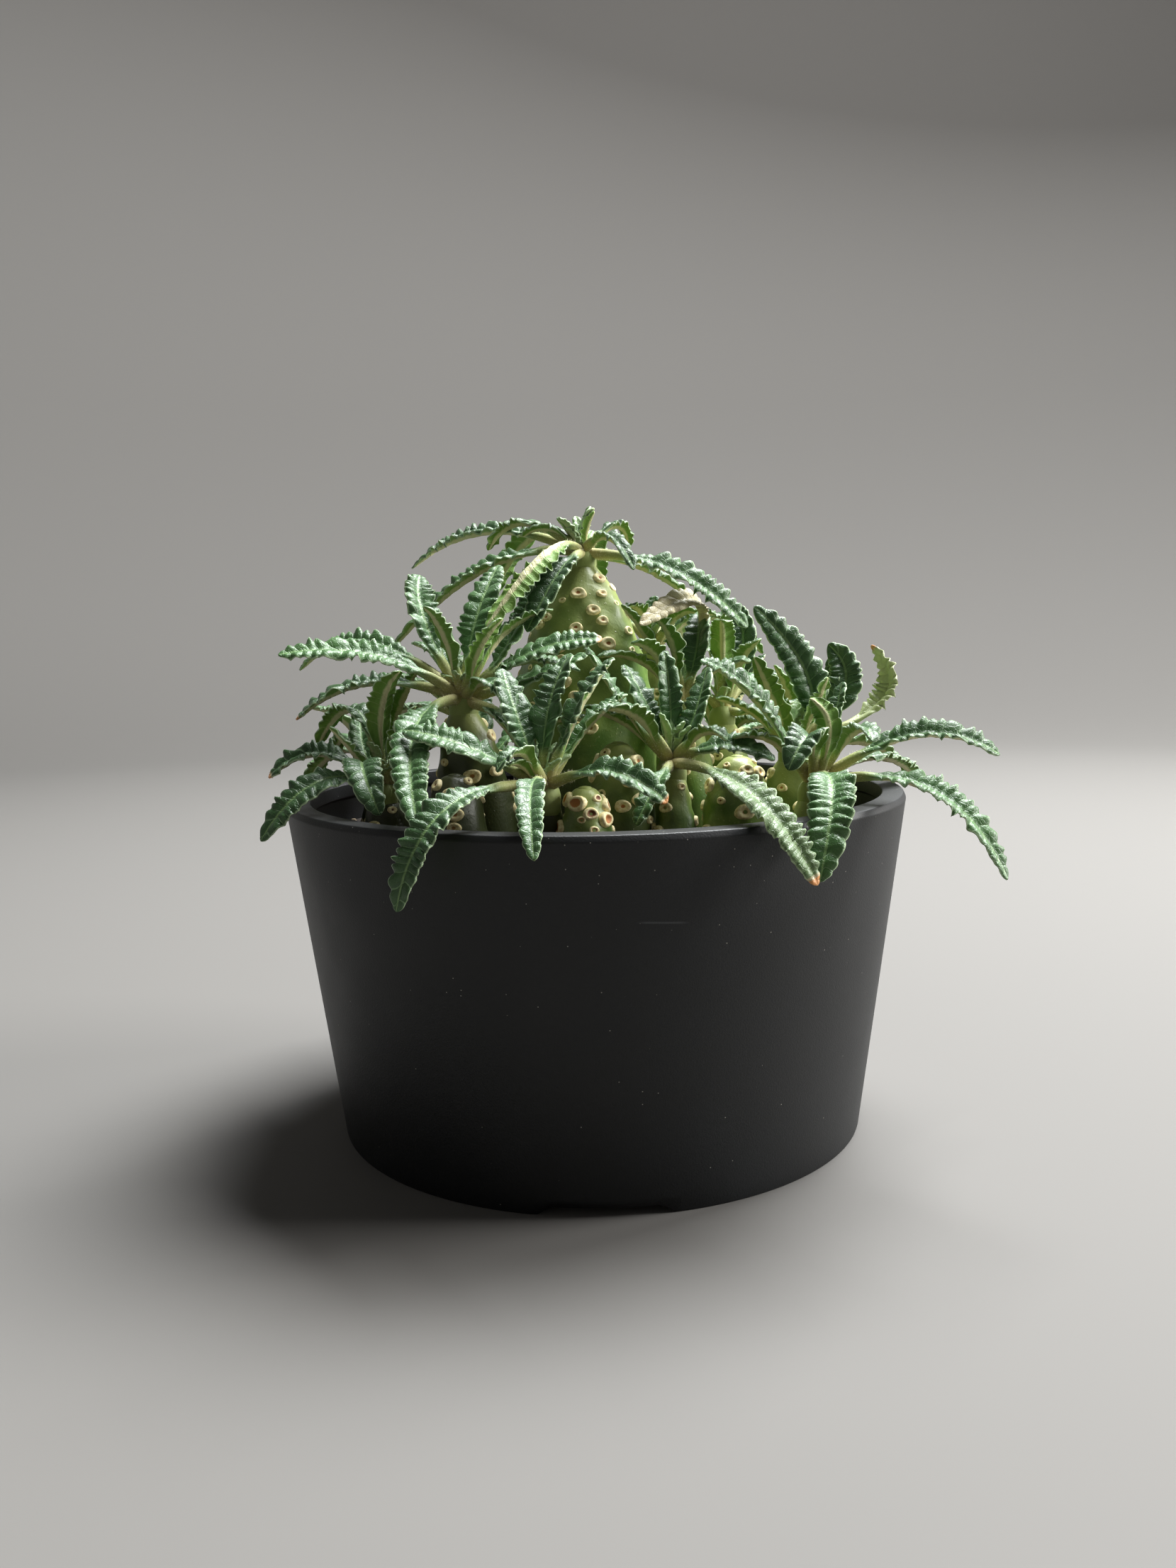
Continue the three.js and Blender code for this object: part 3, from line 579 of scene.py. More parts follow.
# %% List the stems
GOLDEN_ANGLE = np.radians(137.5)
STEM_START = -22.0
CONE, DOME = (4.0, 0.95), (2.6, 0.5)
BUMP_HEIGHT, BUMP_REACH, BUMP_FADE = 0.8, 1.7, 0.25
STEMS = {
    "stem_main": ((-3, 0), (-2, 3, 54.5), (18, 3.4), 16, CONE),
    "stem_left": ((-26, -14), (-30, -22, 20.5), (8.5, 3.4), 5, CONE),
    "stem_front_left": ((-13, -43), (-11, -46.5, 2.5), (4.5, 3.2), 1, CONE),
    "stem_front_right": ((18, -36), (17, -30.5, 5.5), (4.5, 3), 2, CONE),
    "stem_upper": ((25, -8), (21, -8, 17.5), (7, 3.4), 3, CONE),
    "stem_right": ((47, -32), (49, -28, -0.5), (5, 3.4), 1, CONE),
    "stem_right_back": ((46, -4), (48, -6, 6.5), (7, 3.4), 2, CONE),
    "stem_back_mid": ((34, 14), (33, 12, 14.5), (8, 3.4), 2, CONE),
    "stem_back_top": ((16, 24), (16, 22, 30.5), (10, 3.6), 3, CONE),
    "stem_far_left": ((-46, -20), (-49, -24, 0.5), (6, 3.4), 2, CONE),
    "stem_back_left": ((-34, 20), (-34, 24, 12.5), (9, 3.6), 2, CONE),
    "stem_back": ((-6, 44), (-6, 48, 4.5), (8, 3.6), 2, CONE),
    "stem_back_right": ((34, 44), (36, 46, 2.5), (7, 3.4), 2, CONE),
    "stem_side_left": ((-52, 8), (-54, 6, 2.5), (6, 3.4), 2, CONE),
    "stem_side_right": ((54, 22), (57, 22, 0.5), (6, 3.4), 2, CONE),
    "dome_low_right": ((32, -27), (32, -28, 10), (8.5, 1.5), 6, DOME),
    "dome_middle": ((5, -33), (5, -33, 14), (7.5, 1.5), 6, DOME),
    "dome_front": ((-2.5, -48.5), (-2.5, -48.5, 6), (6, 1.5), 8, DOME),
    "dome_left": ((-31, -38), (-31, -37, 8), (7.5, 1.5), 4, DOME),
}
print("There are", len(STEMS), "stems")


# %% Shape a stem
TIP_RINGS, TIP_RISE = 7, 0.3


def stem_axis(stem, s):
    """Centre and radius at share s: a straight line, and top + (foot - top) (1 - s^a)^b."""
    foot, top, (foot_radius, top_radius), _, (power, root) = stem
    start = np.array([*foot, STEM_START + RIM_Z])
    end = np.array(top, float) + [0, 0, RIM_Z]
    radius = top_radius + (foot_radius - top_radius) * (1 - s**power) ** root
    return start + (end - start) * s[..., None], radius


def bump_height(s):
    """Bumps sink away towards the tip, as the square root of the share that is left."""
    return BUMP_HEIGHT * np.sqrt(np.clip((1 - s) / BUMP_FADE, 0, 1))


def stem_rings(stem, scar_share, scar_angle, random):
    """centre + radius (cos a, sin a, 0), with low swellings and a round bump h exp(-d^2 / 2 w^2) under every
    scar, where d is the distance from it, then a small dome over the tip."""
    tall = stem[1][2] - STEM_START
    rows, columns = int(24 + 0.85 * tall), int(32 + 3.4 * stem[2][0])
    s = 1 - (1 - np.linspace(0, 1, rows)) ** 1.8
    angle = np.arange(columns) * 2 * np.pi / columns
    centre, radius = stem_axis(stem, s)
    beside = ((angle[:, None] - scar_angle + np.pi) % (2 * np.pi) - np.pi) * radius[:, None, None]
    above = (s[:, None, None] - scar_share) * tall
    bump = np.exp(-(beside**2 + above**2) / (2 * BUMP_REACH**2)).max(-1) * bump_height(s)[:, None]
    first, second = random.uniform(0, 2 * np.pi, 2)
    swell = 0.022 * np.sin(2 * angle + first + 4 * s[:, None])
    swell = swell + 0.014 * np.sin(5 * angle + second - 7 * s[:, None])
    around = heading(angle)
    rings = centre[:, None] + (radius[:, None] * (1 + swell) + bump)[..., None] * around
    lean = np.linspace(0.15, 1.35, TIP_RINGS)
    dome = rings[-1] + (np.cos(lean) - 1)[:, None, None] * radius[-1] * around
    dome[..., 2] += TIP_RISE * radius[-1] * np.sin(lean)[:, None]
    marks = np.zeros((rows + TIP_RINGS, columns, 3))
    marks[..., 0] = np.concatenate([s, np.ones(TIP_RINGS)])[:, None]
    return np.concatenate([rings, dome]), marks


# %% Shape its scars
SCAR_PROFILE = np.array([
    (1.1, -1.4), (1.06, -0.3), (1.0, 0.12), (0.92, 0.36), (0.82, 0.47), (0.68, 0.48), (0.52, 0.42),
    (0.38, 0.3), (0.24, 0.17), (0.1, 0.13)])
LOWEST_SCAR, HIGHEST_SCAR = 0.42, 0.93
SCAR_COLUMNS, SCAR_GIRTHWISE, SCAR_UPWARD, FULL_SCAR = 16, 1.15, 0.9, 1.6
FRESH_SCARS = {"dome_front"}


def scar_places(stem, s, angle):
    """Point, outward normal and level direction of scars at shares s of the stem's height."""
    centre, radius = stem_axis(stem, s)
    above, radius_above = stem_axis(stem, s + 0.02)
    out_way = heading(angle)
    slope = (radius - radius_above) / (above - centre)[:, 2]
    normal = unit(out_way + slope[:, None] * [0, 0, 1])
    level = np.stack([-np.sin(angle), np.cos(angle), 0 * angle], -1)
    return centre + out_way * radius[:, None], normal, level


def scar_rings(place, normal, level, size, fresh, random):
    """Carries the scar's profile round its normal, wider along the stem's girth than up it."""
    phi = np.arange(SCAR_COLUMNS) * 2 * np.pi / SCAR_COLUMNS
    upward = np.cross(normal, level)
    reach, rise = SCAR_PROFILE[:, :1] * size[:, None, None], SCAR_PROFILE[:, 1:] + 0 * phi
    ragged = 1 + 0.05 * np.sin(3 * phi + random.uniform(0, 6, (len(place), 1, 1)))
    height_share = np.minimum(size, FULL_SCAR)[:, None, None, None]
    rings = place[:, None, None] + rise[None, ..., None] * normal[:, None, None] * height_share / FULL_SCAR
    rings = rings + (reach * SCAR_GIRTHWISE * ragged * np.cos(phi))[..., None] * level[:, None, None]
    rings = rings + (reach * SCAR_UPWARD * ragged * np.sin(phi))[..., None] * upward[:, None, None]
    marks, look = np.zeros_like(rings), np.ones_like(rings)
    marks[..., 1] = SCAR_PROFILE[:, :1] - 0.3 * fresh
    look[..., 1] = random.uniform(0.5 * fresh, 1, (len(place), 1, 1))
    return rings, marks, look


def scattered_scars(stem, random):
    """The CAD model's scars in equal steps, then four times as many, closer together towards the tip."""
    own, more = np.arange(stem[3]), np.arange(4 * stem[3])
    climb = np.concatenate([(own + 0.5) / len(own), ((more + 0.5) / len(more)) ** 0.7 * 1.08])
    more_angle = more * GOLDEN_ANGLE + 1.2 + random.uniform(-0.3, 0.3, len(more))
    angle = np.concatenate([own * GOLDEN_ANGLE, more_angle])
    sizes = np.concatenate([random.uniform(1.5, 1.9, len(own)), random.uniform(0.75, 1.7, len(more))])
    return LOWEST_SCAR + (HIGHEST_SCAR - LOWEST_SCAR) * climb, angle, sizes


def apart(places, reach):
    """True for each scar whose centre is farther than its reach from every scar before it."""
    distance = np.linalg.norm(places[:, None] - places[None], axis=-1)
    earlier = np.tril(np.ones(distance.shape, bool), -1)
    return ~((distance < np.maximum(reach[:, None], reach[None])) & earlier).any(axis=1)


# %% Grow the stems
SCAR_SPACING, FRESH_SPACING, FRESH_GROWTH, SCAR_LIFT = 1.7, 1.3, 1.1, 0.85
stem_random = np.random.default_rng(23)
for name, stem in STEMS.items():
    trunk = Heap()
    is_fresh = name in FRESH_SCARS
    fresh = 1.0 if is_fresh else 0.0
    share, angle, sizes = scattered_scars(stem, stem_random)
    sizes = sizes * (FRESH_GROWTH if is_fresh else 1)
    place, normal, level = scar_places(stem, share, angle)
    chosen = np.flatnonzero(apart(place, sizes * (FRESH_SPACING if is_fresh else SCAR_SPACING)))
    place, normal, level, sizes = place[chosen], normal[chosen], level[chosen], sizes[chosen]
    rings, marks = stem_rings(stem, share[chosen], angle[chosen], stem_random)
    # The third number of look keeps most of the painted shade off the fresh dome at the front.
    trunk.add(rings, marks, np.broadcast_to([0.0, 0.0, 0.8 * fresh], rings.shape))
    place = place + SCAR_LIFT * bump_height(share[chosen])[:, None] * normal
    trunk.add(*scar_rings(place, normal, level, sizes, fresh, stem_random))
    trunk.piece(name.replace("stem", "trunk").replace("dome", "knob"), skin_finish, "stem_skin", name)

# %% [markdown]
# ## The leaves
# Each leaf is one closed tube that starts as a round stalk and flattens into a blade. Its centre line is a
# parabola through three points. Going round the tube, an angle a gives the place across the leaf as cos a,
# with the upper face where sin a is positive and the underside where it is negative, so both faces share
# their edge. The side veins decide the rest: between two veins the blade swells and its edge waves up, and
# at a vein it dips. The first two points of each leaf below are its halfway point and its tip, measured from
# the crown's growing tip in millimetres. Then come its half width and how far it is rolled, in degrees.

# %% List the crowns
CROWNS = {
    "leaves_top": ((-2, 3, 58), [
        ((-24, 17, 7), (-46, 29, -1), 4.2, -20), ((-14, 6, 8), (-24, 10, 2), 3.6, 0),
        ((-9, -16, -1), (-22, -27, -18), 4.4, 180), ((-5, -15, -5), (-13, -24, -19), 4.6, 0),
        ((-23, -1, -3), (-50, 3, -24), 4.2, -20), ((21, -8, -5), (39, -12, -19), 4.8, 25),
        ((15, 13, -3), (30, 23, -12), 4, 20), ((8, 6, 7), (12, 10, 2), 3, 0),
        ((2, 22, 5), (4, 42, -10), 4.6, 0), ((-12, 20, 6), (-26, 38, -10), 4.6, 0),
        ((1, -1, 5), (3, -2, 10), 1.8, 0), ((-3, 1, 5), (-6, 2, 9), 1.8, 0)]),
    "leaves_left": ((-30, -22, 24), [
        ((-18, -6, 10), (-39, -12, 11), 4.4, -30), ((-21, 0, 4), (-39, 2, -4), 4.2, -15),
        ((-23, 13, 13), (-42, 21, 7), 4, -20), ((-9, 5, 18), (-11, 16, 29), 4.4, 0),
        ((-3, -5, 13), (-7, -9, 21), 3.2, 0), ((3, 4, 17), (8, 16, 31), 4.4, 0),
        ((4, -6, 10), (10, -9, 18), 3.2, 0), ((11, 6, 13), (17, 13, 28), 4, 0),
        ((16, -6, 10), (32, -9, 13), 4.2, 30), ((15, -2, 4), (29, -2, 10), 4, 20),
        ((16, -11, -4), (30, -9, -4), 3.6, 0), ((-8, -23, -5), (-5, -46, -23), 4.6, 0)]),
    "leaves_front_left": ((-11, -47, 6), [
        ((-15, -5, 9), (-29, -3, 13), 4.4, -30), ((-5, 2, 13), (-9, 11, 25), 4.4, 0),
        ((1, 3, 15), (6, 10, 28), 4.2, 0), ((7, 0, 15), (15, 6, 27), 4.4, 0),
        ((13, -9, 4), (25, -13, -2), 4.2, 25), ((-2, -19, 2), (-1, -36, -9), 3.3, 0),
        ((-18, -22, -1), (-28, -27, -20), 4.2, -15), ((-4, -5, 5), (-7, -9, 6), 2.2, 0)]),
    "leaves_front_right": ((17, -30, 9), [
        ((-11, -4, 14), (-19, 2, 27), 4.2, 0), ((-5, 2, 12), (-10, 8, 22), 4, 0),
        ((-8, -12, 11), (-17, -17, 13), 4, 0), ((5, 0, 9), (9, 7, 21), 4.2, 0),
        ((11, -5, 4), (22, -8, 1), 4.2, 30), ((13, -31, -3), (25, -42, -20), 4.4, 10),
        ((-4, -14, -3), (-9, -20, -11), 3, 0)]),
    "leaves_upper": ((21, -8, 21), [
        ((5, 4, 23), (-10, -8, 19), 4, -30), ((-6, -7, 11), (-12, -11, 15), 3.8, 0),
        ((-2, -4, 13), (-6, -2, 21), 4, 0), ((4, 0, 13), (5, 9, 22), 4, 0)]),
    "leaves_right": ((49, -28, 3), [
        ((-13, -8, 19), (-26, -10, 29), 4.4, -40), ((21, -5, 11), (39, -10, 7), 4.6, 25),
        ((21, -17, 1), (35, -28, -17), 4.4, 15), ((-1, -27, 3), (-6, -41, -14), 5.2, 0),
        ((-3, -14, 12), (-9, -22, 6), 4.6, 0), ((8, -6, 12), (10, -15, 11), 3.6, 0),
        ((2, -9, 13), (-2, -8, 20), 3.2, 0), ((19, 20, 4), (35, 36, -5), 4.2, 0)]),
    "leaves_right_back": ((48, -6, 10), [
        ((4, -2, 15), (-9, 0, 34), 4.8, -80), ((12.8, 1.2, 13.4), (10, 6, 24.5), 4.3, 45),
        ((23, 4, 11), (21, 8, 24), 3.8, 15), ((-5, -8, 9), (-10, -8, 22), 4.4, 0),
        ((10, 2, 8), (10, 6, 21), 4.2, 0)]),
    "leaves_back_mid": ((33, 12, 18), [
        ((4, -4, 11), (8, -11, 18), 4.2, 0), ((0, -3, 16), (-1, -9, 23), 3.8, 0),
        ((6, 4, 14), (5, 10, 27), 4.4, 0), ((9, -2, 0), (21, 4, 2), 4, 0),
        ((12, 14, 8), (22, 26, 0), 4.4, 0)]),
    "leaves_back_top": ((16, 22, 34), [
        ((-3, -5, 9), (-7, -8, 11), 3.6, 0), ((6, -5, 8), (12, -7, 9), 3.6, 0),
        ((6, 16, 8), (12, 36, -4), 4.6, 0), ((-10, 14, 8), (-20, 30, -4), 4.6, 0),
        ((16, 10, 8), (32, 22, -2), 4.4, 0)]),
    "leaves_far_left": ((-49, -24, 4), [
        ((1, -3, 17), (6, -8, 27), 4, 0), ((5, -3, 11), (9, -7, 19), 3.8, 0),
        ((-7, 10, 17), (-18, 16, 9), 4.2, 0), ((-13, 0, 8), (-26, 0, 3), 4.2, -20),
        ((-12, -11, 3), (-24, -17, -9), 4.2, -30), ((-2, -14, 7), (3, -23, -3), 4.4, 0),
        ((-9, 18, 10), (-17, 29, 6), 3.8, 0), ((-6, 10, 9), (-7, 18, 17), 3.6, 0)]),
}
print("The listed crowns hold", sum(len(leaves) for _, leaves in CROWNS.values()), "leaves")

# %% [markdown]
# The crowns at the back grow by a rule. Leaves stand a golden angle apart, the first ones long and hanging
# and the last ones short and upright. The scatter comes from a plain multiply-and-remainder sequence, so
# that the CAD model and this scene draw the same leaves.

# %% Grow the ruled crowns
RULED_CROWNS = {
    "leaves_back_left": ((-34, 24, 16), 150, 6, 38),
    "leaves_back": ((-6, 48, 8), 80, 6, 36),
    "leaves_back_right": ((36, 46, 6), 35, 6, 36),
    "leaves_side_left": ((-54, 6, 6), 150, 5, 30),
    "leaves_side_right": ((57, 22, 4), 0, 5, 30),
}


def scatter_numbers(state):
    """Each state is 16807 times the last, less whole 2147483647s, and the number is its share of that."""
    while True:
        state = state * 16807 % 2147483647
        yield state / 2147483647


def ruled_leaves(start, count, reach, scatter):
    """From the first to the last, reach falls to 0.35, the tip rises from -9 to 24 mm and the arch
    falls from 8 to 2 mm."""
    leaves = []
    for i, u in enumerate(np.linspace(0, 1, count)):
        angle = np.radians(start) + i * GOLDEN_ANGLE + 0.3 * (next(scatter) - 0.5)
        out_by = reach * (1 - 0.65 * u) * (1 + 0.2 * (next(scatter) - 0.5))
        rise = -9 + 33 * u + 4 * (next(scatter) - 0.5)
        x, y = out_by * np.cos(angle), out_by * np.sin(angle)
        leaves.append(((x / 2, y / 2, rise / 2 + 8 - 6 * u), (x, y, rise), 4.4, 0))
    return leaves


crown_scatter = scatter_numbers(7)
for name, (at, start, count, reach) in RULED_CROWNS.items():
    CROWNS[name] = (at, ruled_leaves(start, count, reach, crown_scatter))
print("All crowns hold", sum(len(leaves) for _, leaves in CROWNS.values()), "leaves")

# %% [markdown]
# ### One leaf's surface
# The function below takes a column of places t along the leaf and a row of angles a round it, and works
# out every point at once. The same function serves for the hairs, which need single points on a stalk.

# %% Work out a leaf's points
STALK_HALF, BLADE_START, BLADE_HALF_THICK = 1.35, 0.2, 0.26
VEIN_SPACING = 2.5
COMMON_HALF_WIDTH = 4.4
EDGE_WAVE, EDGE_PAIRED, EDGE_FRILL, SCALLOP = 1.15, 0.45, 0.16, 0.2
QUILTING, CRINKLE = 0.45, 0.14
GROOVE, RIB = 0.32, 0.95
ORANGE_TIPS = {("leaves_top", 4), ("leaves_left", 8), ("leaves_front_left", 4), ("leaves_left", 1),
               ("leaves_far_left", 3), ("leaves_right_back", 2), ("leaves_front_right", 5)}
DRYNESS = {("leaves_upper", 0): 1.0, ("leaves_front_right", 5): 0.24}
PALE = {("leaves_right_back", 2)}
WITHERED = {("leaves_upper", 0)}


def eased_step(x, low, high):
    """3 q^2 - 2 q^3, where q is how far x has come from low to high, held between 0 and 1."""
    q = np.clip((x - low) / (high - low), 0, 1)
    return q * q * (3 - 2 * q)


def leaf_frame(leaf, t, twist=0.0):
    """Centre 2 t (1-t) control + t^2 tip, with control = 2 middle - tip / 2, and two directions: sideways,
    which is level before the leaf is rolled, and up, which is square to it and to the way ahead."""
    middle, tip, _, roll = leaf
    tip = np.array(tip, float)
    control = 2 * np.array(middle, float) - tip / 2
    centre = 2 * t * (1 - t) * control + t * t * tip
    ahead = unit(2 * (1 - 2 * t) * control + 2 * t * tip)
    level = unit(np.array([-tip[1], tip[0], 0.0]))
    side = unit(level - ahead * (ahead @ level)[:, None])
    turn = np.radians(roll + twist * (t - 0.4))
    side = side * np.cos(turn) + np.cross(ahead, side) * np.sin(turn)
    return centre, side, np.cross(ahead, side)


def leaf_surface(leaf, t, a, random, crumple=1.0, fold=15.0, twist=0.0):
    """Points for places t and angles a. Sideways is width cos a. Up is the fold, width sin(lean), plus the
    edge's waves and the swelling between veins, both from |sin(pi vein)|, plus the blade's thickness."""
    centre, side, up = leaf_frame(leaf, t[:, None], twist)
    half_width = leaf[2]
    steps = np.linalg.norm(np.diff(leaf_frame(leaf, np.linspace(0, 1, 40)[:, None])[0], axis=0), axis=1)
    blade_length = (1 - BLADE_START) * steps.sum()
    t, v, s = t[:, None], np.cos(a), np.sin(a)
    out_share = np.abs(v)
    u = np.clip((t - BLADE_START) / (1 - BLADE_START), 0, 1)
    climb = 3.2 * u
    share = climb / (1 + climb**6) ** (1 / 6) * np.sqrt(1 - u**3.5)
    width = half_width * share

    phases = random.uniform(0, 2 * np.pi, 6)
    offset = 0.25 * np.sign(v) * eased_step(out_share, 0, 0.3)
    wander = 0.45 * np.sin(2 * np.pi * 1.7 * u + phases[0]) + 0.17 * np.sin(2 * np.pi * 4.3 * u + phases[1])
    vein = blade_length / VEIN_SPACING * u - 0.1 * width * out_share**1.4 + offset + wander
    lobe = np.abs(np.sin(np.pi * vein))
    paired = np.cos(np.pi * vein * 0.93 + phases[3] + np.sign(v) * phases[4])
    strength = 1 + 0.5 * np.sin(2 * np.pi * 2.3 * u + phases[2] + 2 * np.sign(v))
    size = crumple * half_width / COMMON_HALF_WIDTH * np.minimum(1, share * 1.1)
    frill = EDGE_FRILL * np.sin(2.9 * np.pi * vein + phases[5]) * out_share**3
    ruffle = size * strength * (EDGE_WAVE * (lobe - 0.62) + EDGE_PAIRED * paired + frill) * out_share**3
    crinkle = CRINKLE * size * lumps(blade_length * u + 0 * v, width * v, 4.5, 1.5, 10, random)
    swell = size * QUILTING * lobe**0.7 * (1 - out_share**5) * eased_step(out_share, 0.03, 0.3) + crinkle
    lean = np.radians(fold) * share
    rounding = -0.16 * width * out_share**5
    lift = width * out_share**1.2 * np.sin(lean) + rounding + ruffle + swell + 0.25 * share

    stalk = STALK_HALF * (1 - 0.85 * t)
    across_width = ((width * (1 + SCALLOP * (lobe - 0.6) * out_share**2)) ** 4 + stalk**4) ** 0.25
    flat = eased_step(share, 0.0, 0.5)
    thin = BLADE_HALF_THICK * np.sign(s) * np.abs(s) ** 0.45
    groove = GROOVE * share * np.exp(-((across_width * v / 0.4) ** 2)) * (s > 0)
    rib_size = RIB * (1 - 0.62 * t)
    rib = rib_size * np.exp(-((across_width * v / (0.8 * rib_size + 0.1)) ** 2)) * (s < 0)
    height = (1 - flat) * stalk * s + flat * (lift + thin - groove - rib)
    sideways = across_width * v * np.cos(lean)
    points = centre[:, None] + side[:, None] * sideways[..., None] + up[:, None] * height[..., None]
    place = np.stack(np.broadcast_arrays((t - BLADE_START) / (1 - BLADE_START), v, vein), -1)
    return points, place


# %% [markdown]
# ### Crowns
# A crown is its leaves, a heart of soft green tissue where their stalks meet, and a tuft of very young
# leaves in the middle. The ten listed crowns also have two to four half-grown leaves, which fill the gaps
# between the long ones. Young and half-grown leaves use the same surface on a smaller scale.


# %% Grow the crowns
LOOP, YOUNG_LOOP = 28, 20
ROW_STEP, YOUNG_ROW_STEP = 0.5, 0.8
YOUNG, YOUNG_WIDTH = 7, 2.4
YOUNG_SHADE, PALE_SHADE = 1.5, 3.0
STRONG_CRUMPLE, WITHERED_CRUMPLE = 1.35, 0.55
ADDED = -1
HALF_GROWN = {
    "leaves_top": [((6, -9, 3), (12, -15, -5), 3.0, 0), ((-7, 2, 6), (-15, 5, 5), 2.8, 0)],
    "leaves_left": [
        ((13, -4, 8), (27, -7, 6), 3.6, 10), ((9, 1, 14), (21, 3, 20), 3.4, 0),
        ((-6, 7, 9), (-13, 14, 13), 3, 0), ((6, -12, 4), (12, -20, -1), 3.2, 0)],
    "leaves_front_left": [
        ((9, 4, 12), (18, 10, 19), 3.4, 0), ((-4, -8, 8), (-9, -13, 5), 2.8, 0),
        ((-6, 3, 10), (-13, 7, 17), 3, 0)],
    "leaves_front_right": [
        ((-10, -1, 9), (-21, 0, 13), 3.4, 0), ((0, 3, 13), (-1, 6, 25), 3.2, 0),
        ((6, -8, 7), (11, -13, 6), 2.8, 0)],
    "leaves_upper": [
        ((-9, -5, 10), (-20, -8, 12), 3.4, 0), ((8, -3, 8), (16, -7, 10), 3.2, 0),
        ((-7, -1, 14), (-14, -3, 24), 3.2, 0)],
    "leaves_right": [((-9, -5, 10), (-19, -8, 12), 3.4, 0), ((5, 2, 13), (8, 6, 23), 3.2, 0)],
    "leaves_right_back": [((-9, 2, 8), (-18, 4, 12), 3.2, 0), ((4, -5, 8), (7, -8, 17), 3, 0)],
    "leaves_back_mid": [((-9, -3, 8), (-18, -6, 11), 3.2, 0), ((-2, 2, 13), (-6, 3, 25), 3.2, 0)],
    "leaves_back_top": [((9, 1, 7), (17, 2, 9), 3.2, 0), ((0, 1, 7), (1, 3, 14), 3, 0)],
    "leaves_far_left": [((9, 3, 8), (18, 6, 12), 3.2, 0), ((-5, -4, 8), (-10, -7, 15), 3, 0)],
}
leaf_random = np.random.default_rng(41)


def add_leaf(heap, at, leaf, name, index):
    """One leaf, with rings about half a millimetre apart and closer near its blunt tip. Its index is its
    place in the crown's list, or ADDED for a leaf that only this scene has."""
    reach = np.linalg.norm(np.array(leaf[0], float)) + np.linalg.norm(np.subtract(leaf[1], leaf[0]))
    young = index == ADDED and leaf[2] < YOUNG_WIDTH
    pale = (name, index) in PALE
    rows = int(12 + reach / (YOUNG_ROW_STEP if young else ROW_STEP))
    columns = YOUNG_LOOP if young else LOOP
    loop_angles = np.arange(columns) * 2 * np.pi / columns
    x = np.linspace(0, 1, rows)
    t = 0.03 + 0.97 * (1 - (1 - x) ** 1.12) ** 0.98
    crumple = STRONG_CRUMPLE if pale or young else leaf_random.uniform(0.8, 1.15)
    if (name, index) in WITHERED:
        crumple = WITHERED_CRUMPLE
    fold, twist = leaf_random.uniform(10, 34), leaf_random.uniform(-22, 22)
    points, place = leaf_surface(leaf, t, loop_angles, leaf_random, crumple, fold, twist)
    look = np.zeros_like(points)
    look[..., 0] = np.sin(loop_angles) < -1e-6
    tip_burn = 2.0 * eased_step(t, 0.955, 0.985) if (name, index) in ORANGE_TIPS else 0 * t
    dry = tip_burn + DRYNESS.get((name, index), 0.0)
    look[..., 1] = dry[:, None]
    look[..., 2] = leaf_random.uniform(0, 1) + (PALE_SHADE if pale else YOUNG_SHADE if young else 0.0)
    heap.add(points + at, place, look)


def young_leaves(random):
    """Short upright leaves a golden angle apart, 5 to 12 mm tall."""
    leaves = []
    for i in range(YOUNG):
        angle = i * GOLDEN_ANGLE + random.uniform(0, 1)
        tall, lean = random.uniform(5, 12), random.uniform(1.5, 6)
        x, y = lean * np.cos(angle), lean * np.sin(angle)
        leaves.append(((0.35 * x, 0.35 * y, tall * 0.55), (x, y, tall), random.uniform(1.0, 2.1), 0))
    return leaves


heart_profile = np.array([
    (3.2, -5.5), (3.3, -4.2), (3.4, -3.0), (3.4, -1.6), (3.1, -0.3), (2.5, 0.7), (1.7, 1.3), (0.8, 1.6)])
for name, (at, leaves) in CROWNS.items():
    crown = Heap()
    growing_tip = np.array(at, float) + [0, 0, RIM_Z]
    for index, leaf in enumerate(leaves):
        add_leaf(crown, growing_tip, leaf, name, index)
    for leaf in HALF_GROWN.get(name, []) + young_leaves(leaf_random):
        add_leaf(crown, growing_tip, leaf, name, ADDED)
    heart = turned(heart_profile, 24) + growing_tip
    crown.add(heart, place=np.broadcast_to([-1.0, 0.0, 0.5], heart.shape))
    crown.piece(name.replace("leaves", "crown"), leaf_finish, "leaf", name)

# %% [markdown]
# ## Hairs
# The stalks are velvety with very short hairs. Hair particles wouldn't survive an export as a mesh, so each
# hair is a slender spike: one ring of three points, a root inside the stalk and a point outside it.

# %% Grow the hairs
HAIRS_PER_LEAF = 70
HAIR_RADIUS, HAIR_ROOT, HAIR_SCATTER = 0.035, 0.1, 0.5
down = Heap()
ring_angles = np.array([0, 2, 4]) * np.pi / 3
for at, leaves in CROWNS.values():
    for leaf in leaves:
        t = leaf_random.uniform(0.06, 0.24, HAIRS_PER_LEAF)
        a = leaf_random.uniform(0, 2 * np.pi, (HAIRS_PER_LEAF, 1))
        foot = leaf_surface(leaf, t, a, leaf_random)[0][:, 0]
        centre = leaf_frame(leaf, t[:, None])[0]
        way = unit(foot - centre + HAIR_SCATTER * leaf_random.normal(0, 1, foot.shape))
        first = unit(np.cross(way, [0.3, 0.5, 0.8]))
        second = np.cross(way, first)
        ring = first[:, None] * np.cos(ring_angles)[:, None] + second[:, None] * np.sin(ring_angles)[:, None]
        foot = foot + np.array(at, float) + [0, 0, RIM_Z]
        length = leaf_random.uniform(0.35, 0.7, (HAIRS_PER_LEAF, 1))
        ends = (foot - HAIR_ROOT * way, foot + length * way)
        down.add((foot[:, None] + HAIR_RADIUS * ring)[:, None], ends=ends)
down.piece("stalk_hairs", hair_finish, "leaf")

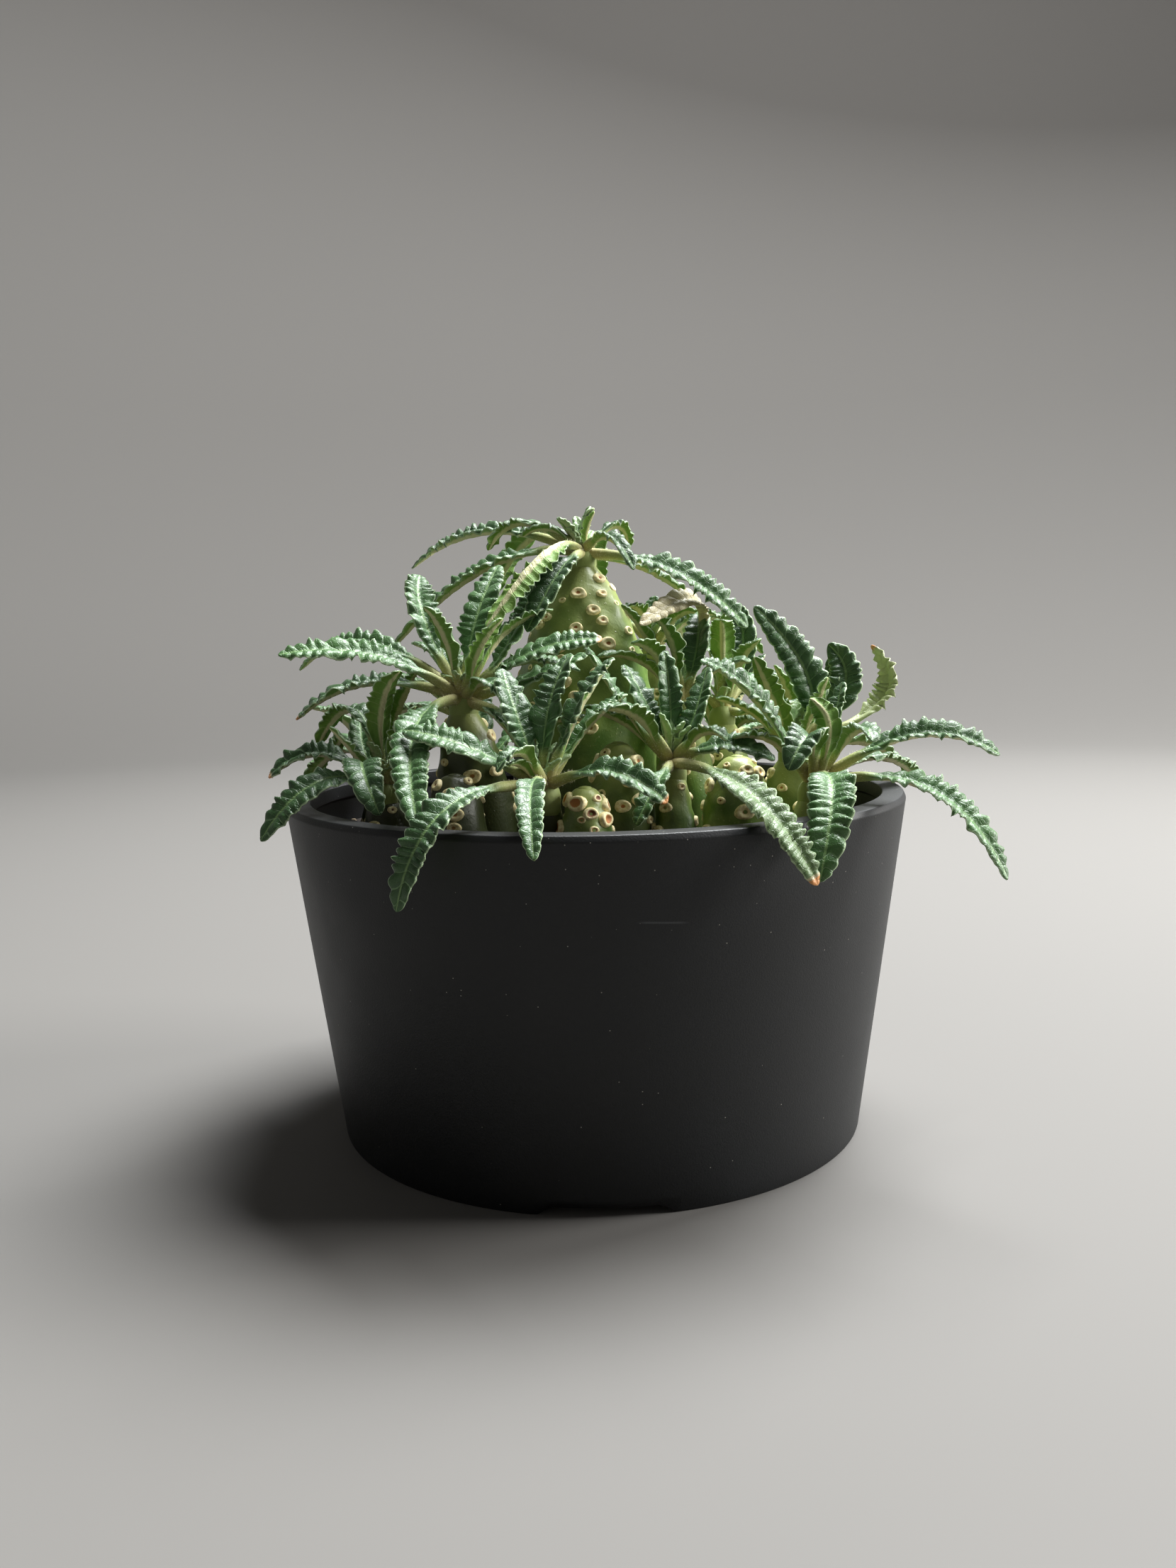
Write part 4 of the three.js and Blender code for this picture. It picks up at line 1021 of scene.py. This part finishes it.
# %% [markdown]
# ## Floor and light
# The plant stands on a plain pale floor that curves up far behind it. A wide soft light hangs above and a
# little behind, where it draws a cool sheen along the leaves, a second one stands on the right, and a weak
# third one evens out the floor's far curve. The world fills the shadows. A small subject needs small lamps
# close by, because a lamp's softness depends on how large it looks from there.

# %% Lay the floor
FLOOR_REACH, FLOOR_TURN, FLOOR_RISE, FLOOR_BEND, FLOOR_COLUMNS = 1700, 1500, 1700, 450.0, 96
backdrop_profile = eased([(1, 0), (FLOOR_TURN, 0), (FLOOR_REACH, FLOOR_RISE)], FLOOR_BEND, 24)
backdrop_points = turned(np.concatenate([[[0.5, 0.0]], backdrop_profile]), FLOOR_COLUMNS) * MM
backdrop_quads, _ = ring_faces(len(backdrop_points), FLOOR_COLUMNS)
floor_mesh = bpy.data.meshes.new("floor")
floor_mesh.from_pydata(backdrop_points.reshape(-1, 3).tolist(), [], backdrop_quads.tolist())
floor_mesh.polygons.foreach_set("use_smooth", np.ones(len(backdrop_quads), bool))
floor = bpy.data.objects.new("floor", floor_mesh)
bpy.context.collection.objects.link(floor)
floor_finish = Finish("pale_floor", Roughness=0.8, Base_Color=colour("6b6966"))
floor_mesh.materials.append(floor_finish.material)
floor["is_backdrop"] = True


# %% Hang the lights
def soft_light(name, at, size, watts, tint, towards=(0, 0, 0.1)):
    """A square area lamp that faces the middle of the plant, or another point."""
    lamp = bpy.data.lights.new(name, "AREA")
    lamp.size, lamp.energy, lamp.color = size, watts, tint
    holder = bpy.data.objects.new(name, lamp)
    back = unit(np.subtract(at, towards))
    right = unit(np.cross([0.0, 0.1, 1.0], back))
    matrix = np.eye(4)
    matrix[:3, :] = np.column_stack([right, np.cross(back, right), back, at])
    holder.matrix_world = Matrix(matrix.tolist())
    bpy.context.collection.objects.link(holder)


soft_light("overhead", (0.42, 0.42, 1.25), 0.75, 64.0, (0.97, 0.99, 1.0))
soft_light("backdrop", (0.1, 0.6, 1.25), 0.8, 9.0, (1.0, 1.0, 1.0), (0.1, 1.6, 0.8))
soft_light("right_side", (1.2, 0.05, 0.55), 0.5, 23.0, (1.0, 0.99, 0.97))
world = bpy.data.worlds.new("world")
bpy.context.scene.world = world
world.use_nodes = True
background = world.node_tree.nodes["Background"]
background.inputs["Color"].default_value = colour("c9c9c9")
background.inputs["Strength"].default_value = 0.09
bpy.context.scene.view_settings.view_transform = "Standard"
print("Three soft lights and an even world light the plant")

# %% Print the sizes
sizes = {"cad": [list(corner) for corner in cad_box], "visual": [list(corner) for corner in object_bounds()]}
print("CAD box", sizes["cad"], "and visual box", sizes["visual"])
